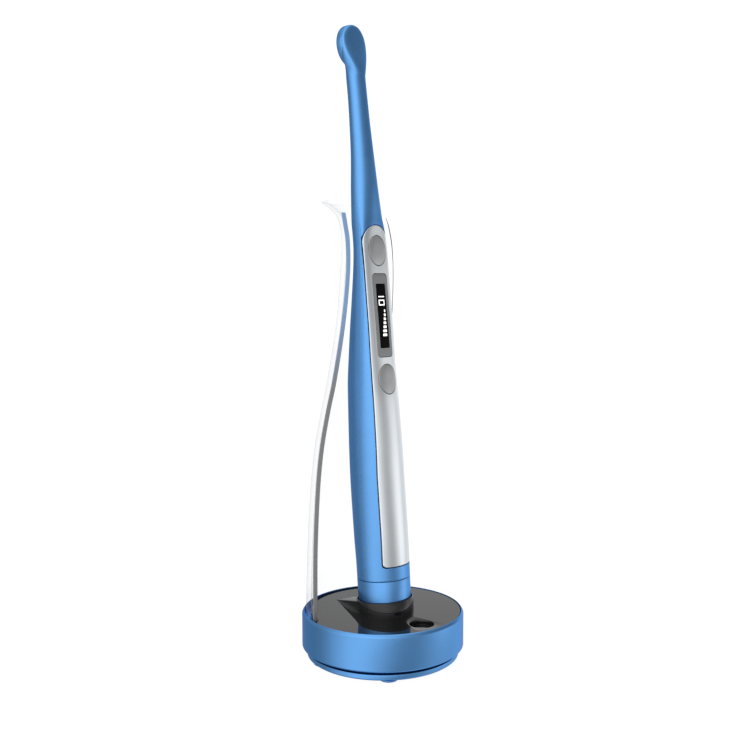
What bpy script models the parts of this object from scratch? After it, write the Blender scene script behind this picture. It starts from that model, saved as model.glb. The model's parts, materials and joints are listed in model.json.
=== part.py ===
"""Cordless dental curing light standing in its round charging stand, as separate pieces.

Units are metres, +Z is up. The origin is the centre of the stand's footprint on the table.
The front is -Y. The handpiece leans towards +Y and is turned a few degrees about its own
length, so that its front panel faces -Y and a little -X. The clear shield stands at the back.

Sizes are in millimetres; the frames below scale them to metres. Along the handpiece, a
"station" is a distance up its axis from the level of the plate's top.
"""
import bpy
import bmesh
from math import atan2, copysign, cos, hypot, pi, radians, sin, sqrt
from mathutils import Matrix, Vector

for old in list(bpy.data.objects):
    bpy.data.objects.remove(old, do_unlink=True)

# ---------------------------------------------------------------- stand dimensions
PLATE_TOP = 20.8          # height of the glossy plate above the table
RING_R = 35.0             # outside radius of the aluminium ring
RING_TOP, RING_LOW = 21.1, 5.4
RING_SEAT_R = 33.95       # seat that takes the top plate and the clear shield
LEDGE_R, LEDGE_Z = 30.5, 17.4
COVER_R, COVER_LOW, COVER_TOP = 32.8, 1.2, 3.9
RIM_OUT_R, RIM_IN_R, RIM_TOP = 29.9, 28.4, 5.9    # raised rim inside the bottom cover
FOOT_R, FOOT_PCD_R, FOOT_H, FOOT_COUNT = 4.0, 27.5, 1.05, 5
SCREW_PCD_R = 21.5
SCREW_AZIMUTHS = (-18, 102, 222)
JACK_HALF, JACK_LOW, JACK_HIGH, JACK_CORNER = 4.6, 10.4, 13.8, 1.6
WELL_AT, WELL_R, WELL_FLOOR, WELL_CHAMFER = (-8.8, -24.1), 5.1, 18.3, 0.35

LEAN = 3.7                # lean of the socket's axis towards +Y, degrees
TURN = 9.0                # turn of the handpiece about its axis, degrees
SOCKET_Y = -1.35          # where the socket's axis meets the top of the plate
SOCKET_R, SOCKET_DEPTH = 11.8, 9.2
CUP_WALL = 1.4            # wall and floor of the socket below the plate
COLLAR_R, COLLAR_H = 12.35, 5.75
FAIR_Y, TIP_Y = 4.4, 23.8            # start and tip of the fairing behind the collar
FAIR_HALF, TIP_HALF, FAIR_H = 11.05, 0.3, 5.3
CONTACT_OFFSETS = (0.0, 5.7)         # contacts' distances from the socket's axis

# ---------------------------------------------------------------- handpiece dimensions
TAIL_LOW, SEAM, GAP = -8.2, 14.6, 0.3
WALL = 1.2
CAVITY_LOW, CAVITY_TOP = 12, 160.5
PANEL_LOW, PANEL_TOP = 20.6, 165.4
PANEL_HALF_TOP, PANEL_HALF_LOW = 7.95, 8.85
PANEL_CORNER, PANEL_T = 1.6, 1.1
PANEL_ARCH = PANEL_TOP - PANEL_HALF_TOP   # where the panel's round top starts
BUTTON_W, BUTTON_H = 5.35, 6.3            # half sizes of the oval buttons
BUTTON_STATIONS = {"power": 154.6, "mode": 100.1}
BEZEL = (4.6, 109.6, 144.8, 1.6)          # half width, low station, high station, corner
WINDOW = (3.0, 113.4, 140.5, 0.4)         # as for the bezel
HOLE_Y = (-14, -2)                        # reach of the cutters that pierce the front
BOARD_Y, SWITCH_Y = -3.4, -4.9            # front faces of the main board and the switches
BATTERY_LOW, BATTERY_HIGH, BATTERY_Y = 27.0, 92.0, 0.7
PAD_R, CONTACT_RING_HALF, CONTACT_GAP = 2.3, 1.0, 0.15
HEAD_S, HEAD_W, HEAD_H = 241.9, 7.5, 8.6  # head's middle, half width and half height
LENS_FACE = 3.4           # how far the lens barrel reaches behind the axis
ENGINE_R = 5.9            # radius of the heat sink and the LED's board

# Sections along the handpiece: station, half width, front depth, back depth,
# forward shift of the section's middle, squareness of the front half (2 is round)
SECTIONS = [
    (-8.2, 11.35, 11.35, 11.35, 0.0, 2.0), (4, 11.4, 11.4, 11.4, 0.0, 2.0),
    (22, 11.6, 11.5, 11.5, 0.05, 2.0), (31, 11.7, 11.6, 11.7, -0.1, 2.05),
    (45, 11.7, 11.5, 11.75, -0.3, 2.1), (57, 11.65, 11.4, 11.7, -0.45, 2.15),
    (70, 11.45, 11.1, 11.5, -0.45, 2.25), (83, 11.0, 10.5, 11.2, -0.42, 2.4),
    (92, 10.6, 9.9, 10.95, -0.4, 2.6), (100.3, 10.2, 9.0, 10.7, -0.3, 2.9),
    (110.2, 9.9, 8.0, 9.9, 0.2, 3.1), (121.8, 9.5, 6.9, 9.1, 0.95, 3.5),
    (134.6, 9.05, 5.6, 7.9, 1.8, 3.8), (147.5, 8.7, 4.45, 6.6, 2.55, 4.0),
    (155.1, 8.45, 4.0, 6.05, 2.75, 4.0), (161.1, 8.05, 4.2, 6.0, 2.5, 3.7),
    (166.2, 7.55, 4.75, 6.1, 2.0, 3.0), (168.7, 7.2, 4.95, 6.0, 1.75, 2.7),
    (175.5, 6.75, 5.2, 5.6, 1.5, 2.3), (182.3, 6.2, 5.2, 5.4, 1.4, 2.1),
    (195.8, 5.2, 4.7, 4.7, 1.25, 2.0), (209.3, 4.6, 4.2, 4.2, 0.8, 2.0),
    (219.4, 4.35, 4.0, 4.0, 0.45, 2.0), (228.6, 4.3, 3.95, 3.95, 0.0, 2.0),
]
STATIONS = [row[0] for row in SECTIONS]

# The neck spreads into the head: station, half width, y of the front, y of the back
HEAD_SECTIONS = [
    (232.0, 4.75, -3.75, 3.2), (235.0, 5.9, -3.2, 2.6), (238.0, 6.85, -2.5, 2.3),
    (241.9, 7.3, -1.75, 2.2), (245.5, 6.75, -1.35, 2.1), (248.2, 5.1, -1.05, 2.0),
    (249.7, 3.2, -0.75, 1.9), (250.3, 1.2, -0.3, 1.6),
]
HEAD_MID_Y = 0.62                             # where the head's front and back halves meet
HEAD_SQUARE_FRONT, HEAD_SQUARE_BACK = 2.9, 2.0

# Clear shield: height above the plate, half width, y of the edges, bulge to the back
SHIELD = [
    (-3.1, 29.3, 16.25, 17.25), (5, 29.15, 16.25, 16.95), (30, 28.4, 16.5, 15.7),
    (55, 26.6, 16.4, 14.4), (72, 25.0, 15.5, 13.5), (88, 23.8, 13.0, 12.7),
    (100, 22.7, 10.7, 12.4), (124, 20.5, 7.6, 11.5), (145, 19.2, 6.0, 11.4),
    (158, 18.7, 6.5, 10.0), (166, 18.5, 8.0, 9.8), (170, 17.9, 9.0, 11.4),
    (173.5, 16.8, 10.1, 15.0), (175.5, 15.8, 11.0, 17.3),
]
# heights above the plate of the shield's rows of points
SHIELD_HEIGHTS = [-3.1, 15, 36, 55, 72, 84, 96, 108, 124, 145, 158, 166, 170, 173.5, 175.5]
SHIELD_COLUMNS = 14
SHIELD_T = 2.0
SLOT_HALF_ANGLE = 61.0 + 1.2                  # the shield's half angle and its clearance
SLOT_OUT_R, SLOT_IN_R, SLOT_STEPS = 36, 31.2, 28

# ---------------------------------------------------------------- frames
STAND = Matrix.Scale(0.001, 4)
# z runs up the socket's leaning axis from the plate's top
SOCKET = (STAND @ Matrix.Translation((0, SOCKET_Y, PLATE_TOP))
          @ Matrix.Rotation(radians(-LEAN), 4, "X"))
HAND = SOCKET @ Matrix.Rotation(radians(-TURN), 4, "Z")
# z runs out of the back of the head, along the lens's axis
LENS_AXIS = HAND @ Matrix.Translation((0, 0, HEAD_S)) @ Matrix.Rotation(radians(-90), 4, "X")

# ---------------------------------------------------------------- materials
# base colour, roughness, metallic
PALETTE = {
    "blue_anodised": ((0.07, 0.26, 0.62), 0.34, 0.9),
    "silver_anodised": ((0.72, 0.74, 0.76), 0.3, 0.9),
    "grey_button": ((0.30, 0.31, 0.32), 0.45, 0.3),
    "grey_bezel": ((0.26, 0.27, 0.28), 0.35, 0.3),
    "black_gloss": ((0.012, 0.012, 0.014), 0.08, 0.0),
    "black_plastic": ((0.02, 0.02, 0.022), 0.5, 0.0),
    "display_black": ((0.004, 0.004, 0.005), 0.05, 0.0),
    "clear_plastic": ((0.93, 0.96, 0.97), 0.03, 0.0),
    "optical_glass": ((0.85, 0.9, 0.95), 0.02, 0.0),
    "rubber": ((0.03, 0.03, 0.03), 0.8, 0.0),
    "circuit_green": ((0.02, 0.16, 0.07), 0.5, 0.0),
    "steel": ((0.5, 0.5, 0.52), 0.35, 1.0),
    "gold": ((0.85, 0.6, 0.2), 0.25, 1.0),
    "copper": ((0.72, 0.35, 0.2), 0.35, 1.0),
    "battery_wrap": ((0.05, 0.2, 0.35), 0.4, 0.0),
    "mirror_coat": ((0.9, 0.9, 0.9), 0.05, 1.0),
    "red_wire": ((0.6, 0.03, 0.02), 0.5, 0.0),
    "phosphor": ((0.8, 0.65, 0.15), 0.4, 0.0),
    "frame_plastic": ((0.6, 0.6, 0.58), 0.55, 0.0),
}


def finish(name):
    """The named material, made on first use."""
    material = bpy.data.materials.get(name)
    if material is None:
        colour, roughness, metallic = PALETTE[name]
        material = bpy.data.materials.new(name)
        material.use_nodes = True
        shader = material.node_tree.nodes["Principled BSDF"]
        shader.inputs["Base Color"].default_value = (*colour, 1)
        shader.inputs["Roughness"].default_value = roughness
        shader.inputs["Metallic"].default_value = metallic
        material.diffuse_color = (*colour, 1)
    return material


# ---------------------------------------------------------------- mesh helpers
def emit(name, bm, frame, mat=None, smooth=True, angle=35):
    """Turn a bmesh into an object, shaded smooth up to an edge angle in degrees."""
    bmesh.ops.recalc_face_normals(bm, faces=bm.faces)
    mesh = bpy.data.meshes.new(name)
    bm.to_mesh(mesh)
    bm.free()
    mesh.transform(frame)
    obj = bpy.data.objects.new(name, mesh)
    bpy.context.scene.collection.objects.link(obj)
    if mat:
        mesh.materials.append(finish(mat))
    if smooth:
        mesh.shade_smooth()
        mesh.set_sharp_from_angle(angle=radians(angle))
    return obj


def loft(name, rings, frame, mat=None, **shading):
    """Capped skin over rings of equal length."""
    bm = bmesh.new()
    rows = [[bm.verts.new(p) for p in ring] for ring in rings]
    count = len(rings[0])
    for a, b in zip(rows, rows[1:]):
        for i in range(count):
            j = (i + 1) % count
            bm.faces.new((a[i], a[j], b[j], b[i]))
    bm.faces.new(list(reversed(rows[0])))
    bm.faces.new(rows[-1])
    return emit(name, bm, frame, mat, **shading)


def lathe(name, profile, frame, segs, mat=None, at=(0, 0)):
    """Profile of (radius, height) turned about an upright axis of the frame through at.

    A profile either starts and ends at radius 0, or stays off the axis and is closed.
    """
    bm = bmesh.new()
    rows = []
    for r, z in profile:
        if r < 1e-6:
            rows.append([bm.verts.new((at[0], at[1], z))])
        else:
            turns = [2 * pi * i / segs for i in range(segs)]
            rows.append([bm.verts.new((at[0] + r * cos(a), at[1] + r * sin(a), z))
                         for a in turns])
    pairs = list(zip(rows, rows[1:]))
    if profile[0][0] > 0:
        pairs.append((rows[-1], rows[0]))
    for a, b in pairs:
        for i in range(segs):
            j = (i + 1) % segs
            if len(a) == 1:
                bm.faces.new((a[0], b[j], b[i]))
            elif len(b) == 1:
                bm.faces.new((a[i], a[j], b[0]))
            else:
                bm.faces.new((a[i], a[j], b[j], b[i]))
    return emit(name, bm, frame, mat)


def disc(name, radius, low, high, frame, segs, mat=None, at=(0, 0), inner=0):
    """Plain cylinder, or a tube when inner is given."""
    profile = [(inner, low), (radius, low), (radius, high), (inner, high)]
    return lathe(name, profile, frame, segs, mat, at)


def prism(name, outline, low, high, frame, mat=None, axis="Y", **shading):
    """Flat outline of (x, station) raised between two levels of y, or of (x, y) along z."""
    def ring(level):
        if axis == "Z":
            return [Vector((x, y, level)) for x, y in outline]
        return [Vector((x, level, s)) for x, s in outline]
    return loft(name, [ring(low), ring(high)], frame, mat, **shading)


def box(name, low, high, frame, mat):
    outline = [(low[0], low[1]), (high[0], low[1]), (high[0], high[1]), (low[0], high[1])]
    return prism(name, outline, low[2], high[2], frame, mat, axis="Z", smooth=False)


def ellipse(middle, half_x, half_s, count=28):
    """Ellipse centred at x = 0 and a station."""
    turns = [2 * pi * i / count for i in range(count)]
    return [(half_x * cos(a), middle + half_s * sin(a)) for a in turns]


def rounded(half, low, high, radius, gap=0, steps=4):
    """Rectangle centred on x = 0 with round corners, grown on all sides by gap."""
    radius += gap
    x = half + gap - radius
    top, bottom = high + gap - radius, low - gap + radius
    points = []
    for cx, cy, start in ((x, top, 0), (-x, top, 90), (-x, bottom, 180), (x, bottom, 270)):
        for k in range(steps + 1):
            a = radians(start + 90 * k / steps)
            points.append((cx + radius * cos(a), cy + radius * sin(a)))
    return points


def rod(name, start, end, radius, segs, mat=None):
    """Round bar between two points of the handpiece."""
    start, end = Vector(start), Vector(end)
    along = (end - start).normalized()
    side = along.orthogonal().normalized()
    other = along.cross(side)
    turns = [2 * pi * i / segs for i in range(segs)]
    rings = [[p + radius * (side * cos(a) + other * sin(a)) for a in turns]
             for p in (start, end)]
    return loft(name, rings, HAND, mat)


def slab(name, point, rows, cols, depths, frame, mat, angle):
    """Solid between two grids of point(row, u, depth), with u from -1 to 1 across a row."""
    bm = bmesh.new()
    grids = [[[bm.verts.new(point(row, -1 + 2 * i / cols, depth)) for i in range(cols + 1)]
              for row in rows] for depth in depths]
    for g in grids:
        for j in range(len(rows) - 1):
            for i in range(cols):
                bm.faces.new((g[j][i], g[j][i + 1], g[j + 1][i + 1], g[j + 1][i]))
    a, b = grids
    for i in range(cols):
        bm.faces.new((a[0][i], b[0][i], b[0][i + 1], a[0][i + 1]))
        bm.faces.new((a[-1][i], a[-1][i + 1], b[-1][i + 1], b[-1][i]))
    for j in range(len(rows) - 1):
        bm.faces.new((a[j][0], a[j + 1][0], b[j + 1][0], b[j][0]))
        bm.faces.new((a[j][cols], b[j][cols], b[j + 1][cols], a[j + 1][cols]))
    return emit(name, bm, frame, mat, angle=angle)


def boolean(target, tool, operation="DIFFERENCE"):
    tool.hide_render = True
    tool.display_type = "WIRE"
    modifier = target.modifiers.new(operation.lower(), "BOOLEAN")
    modifier.operation = operation
    modifier.solver = "EXACT"
    modifier.object = tool


def azimuth(angle, radius):
    """Point on the stand at an angle counted from the front (-Y) towards +X."""
    return radius * sin(radians(angle)), -radius * cos(radians(angle))


# ---------------------------------------------------------------- handpiece skin
def section(s):
    """Section values of SECTIONS at station s, on a smooth cubic through the rows."""
    i = max(k for k in range(len(SECTIONS) - 1) if STATIONS[k] <= s)
    a, b = SECTIONS[i], SECTIONS[i + 1]
    before = SECTIONS[max(i - 1, 0)]
    after = SECTIONS[min(i + 2, len(SECTIONS) - 1)]
    step = b[0] - a[0]
    t = (s - a[0]) / step
    values = []
    for k in range(1, 6):
        slope_a = (b[k] - before[k]) / (b[0] - before[0])
        slope_b = (after[k] - a[k]) / (after[0] - a[0])
        values.append((2 * t**3 - 3 * t**2 + 1) * a[k]
                      + (t**3 - 2 * t**2 + t) * step * slope_a
                      + (-2 * t**3 + 3 * t**2) * b[k]
                      + (t**3 - t**2) * step * slope_b)
    return values


def front_y(x, s):
    """The y of the front skin at width x and station s."""
    half, front, _, shift, square = section(s)
    u = min(abs(x) / half, 1.0)
    return -shift - front * (1 - u**square) ** (1 / square)


def skin_point(x, s, depth):
    """Point on the front skin, moved inwards by depth along the section's own normal."""
    delta = 0.02
    y = front_y(x, s)
    slope = (front_y(x + delta, s) - front_y(x - delta, s)) / (2 * delta)
    length = hypot(slope, 1.0)
    return Vector((x - slope * depth / length, y + depth / length, s))


def signed_power(value, power):
    return copysign(abs(value) ** power, value)


SKIN_SEGS = 32


def ring_at(s, depth=0.0):
    """One closed section of the handpiece, depth inside its skin."""
    half, front, back, shift, square = section(s)
    half, front, back = half - depth, front - depth, back - depth
    points = []
    for i in range(SKIN_SEGS):
        a = 2 * pi * i / SKIN_SEGS
        c, q = cos(a), sin(a)
        if q < 0:
            x = half * signed_power(c, 2 / square)
            y = -shift - front * abs(q) ** (2 / square)
        else:
            x, y = half * c, -shift + back * q
        points.append(Vector((x, y, s)))
    return points


def head_ring(s, half, front, back):
    """One closed section of the head."""
    points = []
    for i in range(SKIN_SEGS):
        a = 2 * pi * i / SKIN_SEGS
        c, q = cos(a), sin(a)
        depth = HEAD_MID_Y - front if q < 0 else back - HEAD_MID_Y
        power = 2 / (HEAD_SQUARE_BACK if q > 0 else HEAD_SQUARE_FRONT)
        points.append(Vector((half * signed_power(c, power),
                              HEAD_MID_Y + depth * signed_power(q, power), s)))
    return points


def inlay(name, outline, middle, rise, depth, mat, rings, crown=0.0, stem=None):
    """Solid that follows the front skin inside an outline of (x, station).

    It stands proud by rise, plus a crown in the middle. A stem is (radius, y of its end).
    """
    bm = bmesh.new()
    count = len(outline)
    top = bm.verts.new((0, front_y(0, middle) - rise - crown, middle))
    rows = []
    for k in range(1, rings + 1):
        q = k / rings
        row = []
        for x, s in outline:
            px, ps = x * q, middle + (s - middle) * q
            y = front_y(px, ps) - rise - crown * (1 - q**3)
            row.append(bm.verts.new((px, y, ps)))
        rows.append(row)
    base_y = [front_y(x, s) + depth for x, s in outline]
    base = [bm.verts.new((x, y, s)) for (x, s), y in zip(outline, base_y)]
    for i in range(count):
        j = (i + 1) % count
        bm.faces.new((top, rows[0][i], rows[0][j]))
        for a, b in zip(rows, rows[1:] + [base]):
            bm.faces.new((a[i], b[i], b[j], a[j]))
    if stem:
        radius, end_y = stem
        neck_y = sum(base_y) / count
        neck = []
        for x, s in outline:
            reach = hypot(x, s - middle)
            neck.append(bm.verts.new((radius * x / reach, neck_y,
                                      middle + radius * (s - middle) / reach)))
        tip = [bm.verts.new((v.co.x, end_y, v.co.z)) for v in neck]
        for i in range(count):
            j = (i + 1) % count
            bm.faces.new((base[i], neck[i], neck[j], base[j]))
            bm.faces.new((neck[i], tip[i], tip[j], neck[j]))
        bm.faces.new(tip)
    else:
        centre = bm.verts.new((0, front_y(0, middle) + depth, middle))
        for i in range(count):
            bm.faces.new((base[i], centre, base[(i + 1) % count]))
    return emit(name, bm, HAND, mat)


# ================================================================ the stand
def build_base_ring():
    ring = lathe("base_ring", [
        (RING_R - 0.7, RING_LOW), (RING_R, RING_LOW + 0.7),
        (RING_R, RING_TOP - 1.15), (RING_R - 0.8, RING_TOP),
        (RING_SEAT_R, RING_TOP), (RING_SEAT_R, LEDGE_Z), (LEDGE_R, LEDGE_Z),
        (LEDGE_R, RING_LOW)], STAND, 60, "blue_anodised")
    outline = rounded(JACK_HALF, JACK_LOW, JACK_HIGH, JACK_CORNER, gap=GAP)
    boolean(ring, prism("jack_hole_cutter", outline, 27.0, 40.0, STAND))


def fairing_tool():
    """Two ridges from the collar's sides to a tip at the back: flat above, hollow at the sides."""
    rings = []
    for k in range(9):
        t = k / 8
        y = FAIR_Y + (TIP_Y - FAIR_Y) * t
        half = FAIR_HALF * (1 - t) + TIP_HALF * t
        height = FAIR_H * (1 - t) + 0.12
        flare = 1.5 * sin(pi * t) ** 0.8 * (1 - 0.4 * t)
        # x and height above the plate, from the foot up one side
        side = [(half + flare, -1.0), (half + flare, 0.02),
                (half + 0.45 * flare, 0.16 * height + 0.02),
                (half + 0.15 * flare, 0.45 * height + 0.02),
                (half, 0.95 * height), (half - min(0.3, 0.5 * half), height)]
        rings.append([Vector((-x, y, PLATE_TOP + z)) for x, z in side]
                     + [Vector((x, y, PLATE_TOP + z)) for x, z in reversed(side)])
    return loft("fairing_tool", rings, STAND)


def shield_slot_cutter():
    """Arc along the back rim that makes room for the clear shield."""
    arc = [radians(90 - SLOT_HALF_ANGLE + 2 * SLOT_HALF_ANGLE * k / SLOT_STEPS)
           for k in range(SLOT_STEPS + 1)]
    outline = ([(SLOT_OUT_R * cos(a), SLOT_OUT_R * sin(a)) for a in arc]
               + [(SLOT_IN_R * cos(a), SLOT_IN_R * sin(a)) for a in reversed(arc)])
    return prism("shield_slot_cutter", outline, 15.0, 25.0, STAND, axis="Z")


def build_top_plate():
    plate = disc("top_plate", RING_SEAT_R - 0.25, LEDGE_Z + GAP, PLATE_TOP, STAND, 60,
                 "black_gloss")
    # leaned collar, carried on below the plate as the socket's cup
    cup_r, cup_low = SOCKET_R + CUP_WALL, -SOCKET_DEPTH - CUP_WALL
    collar = lathe("collar_tool", [
        (0, cup_low), (cup_r, cup_low), (cup_r, -1.5), (COLLAR_R, -1.3),
        (COLLAR_R, COLLAR_H - 0.15), (COLLAR_R - 0.15, COLLAR_H), (0, COLLAR_H)], SOCKET, 40)
    boolean(plate, collar, "UNION")
    boolean(plate, fairing_tool(), "UNION")
    boolean(plate, disc("bore_cutter", SOCKET_R, -SOCKET_DEPTH, 12.0, SOCKET, 40))
    # round well at the front, with a smaller hole through its floor
    mouth_r = WELL_R + WELL_CHAMFER
    boolean(plate, lathe("well_cutter", [
        (0, 15.0), (3.0, 15.0), (3.0, WELL_FLOOR), (WELL_R, WELL_FLOOR),
        (WELL_R, PLATE_TOP - WELL_CHAMFER), (mouth_r, PLATE_TOP), (mouth_r, 24.0),
        (0, 24.0)], STAND, 32, at=WELL_AT))
    for k, y in enumerate(CONTACT_OFFSETS):
        boolean(plate, disc(f"pin_hole_cutter_{k + 1}", 1.35, -14, -8, SOCKET, 16, at=(0, y)))
    boolean(plate, shield_slot_cutter())


def build_underside():
    """Bottom cover screwed to the ballast plate, and the rubber feet."""
    cover = lathe("bottom_cover", [
        (0, COVER_LOW), (COVER_R - 1.1, COVER_LOW), (COVER_R, COVER_LOW + 0.8),
        (COVER_R, COVER_TOP), (RIM_OUT_R, COVER_TOP), (RIM_OUT_R, RIM_TOP),
        (RIM_IN_R, RIM_TOP), (RIM_IN_R, 3.6), (0, 3.6)], STAND, 50, "blue_anodised")
    ballast = disc("ballast_plate", 29.6, 7.6, 10.0, STAND, 50, "steel", inner=16.8)
    for k, angle in enumerate(SCREW_AZIMUTHS):
        at = azimuth(angle, SCREW_PCD_R)
        boolean(cover, lathe(f"screw_hole_cutter_{k + 1}", [
            (0, 0), (2.5, 0), (2.5, 2.7), (1.4, 2.7), (1.4, 9), (0, 9)], STAND, 20, at=at))
        boolean(ballast, disc(f"tapped_hole_cutter_{k + 1}", 1.35, 7, 13, STAND, 16, at=at))
        # the first points are the recess in the head
        lathe(f"base_screw_{k + 1}", [
            (0, 1.9), (0.8, 1.9), (0.8, 1.35), (2.2, 1.35), (2.2, 2.4), (1.1, 2.4),
            (1.1, 9.8), (0, 9.8)], STAND, 16, "steel", at)
    for k in range(FOOT_COUNT):
        at = azimuth(-54 + 360 / FOOT_COUNT * k, FOOT_PCD_R)
        lathe(f"foot_{k + 1}", [(0, 0), (FOOT_R - 0.45, 0), (FOOT_R, 0.4), (FOOT_R, FOOT_H),
                                (0, FOOT_H)], STAND, 24, "rubber", at)


def build_stand_electronics():
    disc("base_pcb", 18.4, 6.2, 7.2, STAND, 40, "circuit_green")
    jack = prism("dc_jack", rounded(JACK_HALF, JACK_LOW, JACK_HIGH, JACK_CORNER), 21.0, 34.4,
                 STAND, "black_plastic")
    boolean(jack, prism("jack_mouth_cutter", rounded(3.9, 11.1, 13.1, 0.95), 28.0, 36.0, STAND))
    disc("sensor_window", 4.75, WELL_FLOOR + 0.2, 19.1, STAND, 28, "optical_glass", WELL_AT)
    x, y = WELL_AT
    box("light_sensor", (x - 2, y - 2, 16.2), (x + 2, y + 2, 17.4), STAND, "black_plastic")
    # contacts in the socket's floor: a fixed barrel and a plunger each
    for k, offset in enumerate(CONTACT_OFFSETS):
        at = (0, offset)
        lathe(f"pin_barrel_{k + 1}", [
            (0, -13.2), (1.1, -13.2), (1.1, -9.4), (0.8, -9.4), (0.8, -12.7), (0, -12.7)],
            SOCKET, 16, "gold", at)
        lathe(f"contact_pin_{k + 1}", [
            (0, -11.6), (0.6, -11.6), (0.6, -8.85), (0.35, -8.6), (0, -8.55)],
            SOCKET, 14, "gold", at)


# ================================================================ the clear shield
def shield_point(z, u, depth):
    """Point at height z above the plate, u across the arc, depth in from its outer face."""
    a, b = next(pair for pair in zip(SHIELD, SHIELD[1:]) if z <= pair[1][0])
    t = (z - a[0]) / (b[0] - a[0])
    half, edge, bulge = (p + (q - p) * t for p, q in zip(a[1:], b[1:]))
    radius = (half * half + bulge * bulge) / (2 * bulge)
    centre_y = edge + bulge - radius
    angle = u * 2 * atan2(bulge, half)
    reach = radius - depth
    return Vector((reach * sin(angle), centre_y + reach * cos(angle), PLATE_TOP + z))


def build_shield():
    slab("clear_shield", shield_point, SHIELD_HEIGHTS, SHIELD_COLUMNS, (0.0, SHIELD_T),
         STAND, "clear_plastic", angle=50)


# ================================================================ the handpiece
def panel_half(s):
    """Half width of the front panel: a round top and small corners below."""
    if s > PANEL_ARCH:
        return sqrt(PANEL_HALF_TOP**2 - (s - PANEL_ARCH) ** 2)
    taper = min(max((s - 60) / 45, 0), 1)
    half = PANEL_HALF_LOW + (PANEL_HALF_TOP - PANEL_HALF_LOW) * taper
    r = PANEL_CORNER
    if s < PANEL_LOW + r:
        return half - r + sqrt(max(r * r - (PANEL_LOW + r - s) ** 2, 0))
    return half


def panel_slab(name, mat, grow, outer, inner):
    """Strip of the front skin between two depths, widened by grow."""
    def point(s, u, depth):
        half = panel_half(s) + grow
        if s > PANEL_TOP - 6:
            s += grow
        elif s < PANEL_LOW + PANEL_CORNER:
            s -= grow
        half = min(half, section(s)[0] - 0.22)
        return skin_point(half * u, s, depth)

    low = [PANEL_LOW + PANEL_CORNER * (1 - cos(radians(90 * k / 3))) for k in range(4)]
    middle = [s for s in STATIONS if 30 < s < 150] + [PANEL_ARCH - 2]
    top = [PANEL_ARCH + PANEL_HALF_TOP * sin(radians(a)) for a in (0, 15, 30, 45, 58, 70, 80, 86)]
    return slab(name, point, low + middle + top, 8, (outer, inner), HAND, mat, angle=40)


def build_shell():
    rings = [ring_at(s) for s in [SEAM + GAP / 2] + [s for s in STATIONS if s > SEAM]]
    rings += [head_ring(*row) for row in HEAD_SECTIONS]
    shell = loft("handpiece_shell", rings, HAND, "blue_anodised", angle=40)
    # oval barrel round the lens: y and scale of the outline
    barrel_rows = ((0.3, 0.955), (0.75, 0.995), (LENS_FACE - 0.35, 1.0), (LENS_FACE, 0.96))
    barrel = loft("lens_barrel_tool", [
        [Vector((x, y, s)) for x, s in ellipse(HEAD_S, HEAD_W * q, HEAD_H * q, 40)]
        for y, q in barrel_rows], HAND)
    boolean(shell, barrel, "UNION")
    inside = [s for s in STATIONS if CAVITY_LOW < s < CAVITY_TOP]
    boolean(shell, loft("cavity_cutter", [
        ring_at(s, WALL + 0.02) for s in [CAVITY_LOW, *inside, CAVITY_TOP]], HAND))
    boolean(shell, panel_slab("panel_opening_cutter", None, 0.28, -1.2, WALL + 0.35))
    boolean(shell, prism("head_pocket_cutter", ellipse(HEAD_S, 6.5, 6.9, 32), -0.15, 6.0, HAND))
    boolean(shell, rod("wire_bore_cutter", (0, -1.7, 158.0), (0, 0.75, 238.0), 1.65, 14))


def build_front():
    """Front panel with its buttons and display."""
    panel = panel_slab("front_panel", "silver_anodised", 0.0, 0.0, PANEL_T)
    for k, s in enumerate(BUTTON_STATIONS.values()):
        outline = ellipse(s, BUTTON_W + 0.25, BUTTON_H + 0.25)
        boolean(panel, prism(f"button_hole_cutter_{k + 1}", outline, *HOLE_Y, HAND))
    boolean(panel, prism("bezel_hole_cutter", rounded(*BEZEL, gap=0.2), *HOLE_Y, HAND))

    bezel = inlay("display_bezel", rounded(*BEZEL), (BEZEL[1] + BEZEL[2]) / 2,
                  rise=0.12, depth=1.3, mat="grey_bezel", rings=4)
    boolean(bezel, prism("window_hole_cutter", rounded(*WINDOW, gap=0.1, steps=2),
                         *HOLE_Y, HAND))
    inlay("display_window", rounded(*WINDOW, steps=2), (WINDOW[1] + WINDOW[2]) / 2,
          rise=-0.05, depth=0.8, mat="display_black", rings=4)
    for name, s in BUTTON_STATIONS.items():
        inlay(f"{name}_button", ellipse(s, BUTTON_W, BUTTON_H), s, rise=0.1, depth=1.2,
              mat="grey_button", rings=3, crown=0.4, stem=(1.3, SWITCH_Y - 0.45))
        prism(f"{name}_switch", rounded(2.6, s - 2.6, s + 2.6, 0.5, steps=1), SWITCH_Y,
              BOARD_Y - 0.1, HAND, "black_plastic")


def build_boards():
    prism("main_pcb", rounded(5.6, 95.0, 159.5, 1.0, steps=2), BOARD_Y, BOARD_Y + 0.8, HAND,
          "circuit_green")
    prism("display_module", rounded(3.9, 111.5, 142.5, 0.4, steps=1), -5.3, BOARD_Y - 0.15,
          HAND, "display_black")
    prism("buzzer", ellipse(147.0, 3.0, 3.0, 20), BOARD_Y + 0.95, BOARD_Y + 3.2, HAND,
          "black_plastic")


def build_battery():
    at = (0, BATTERY_Y)
    shoulder = BATTERY_HIGH - 1.3
    lathe("battery_cell", [
        (0, BATTERY_LOW), (7.6, BATTERY_LOW), (7.9, BATTERY_LOW + 0.3),
        (7.9, BATTERY_HIGH - 1.6), (7.6, shoulder), (2.6, shoulder), (2.6, BATTERY_HIGH),
        (0, BATTERY_HIGH)], HAND, 32, "battery_wrap", at)
    lathe("battery_sleeve", [
        (8.15, 25.0), (8.65, 25.0), (8.65, 93.2), (3.4, 93.2), (3.4, 92.4), (8.15, 92.4)],
        HAND, 32, "frame_plastic", at)


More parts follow.
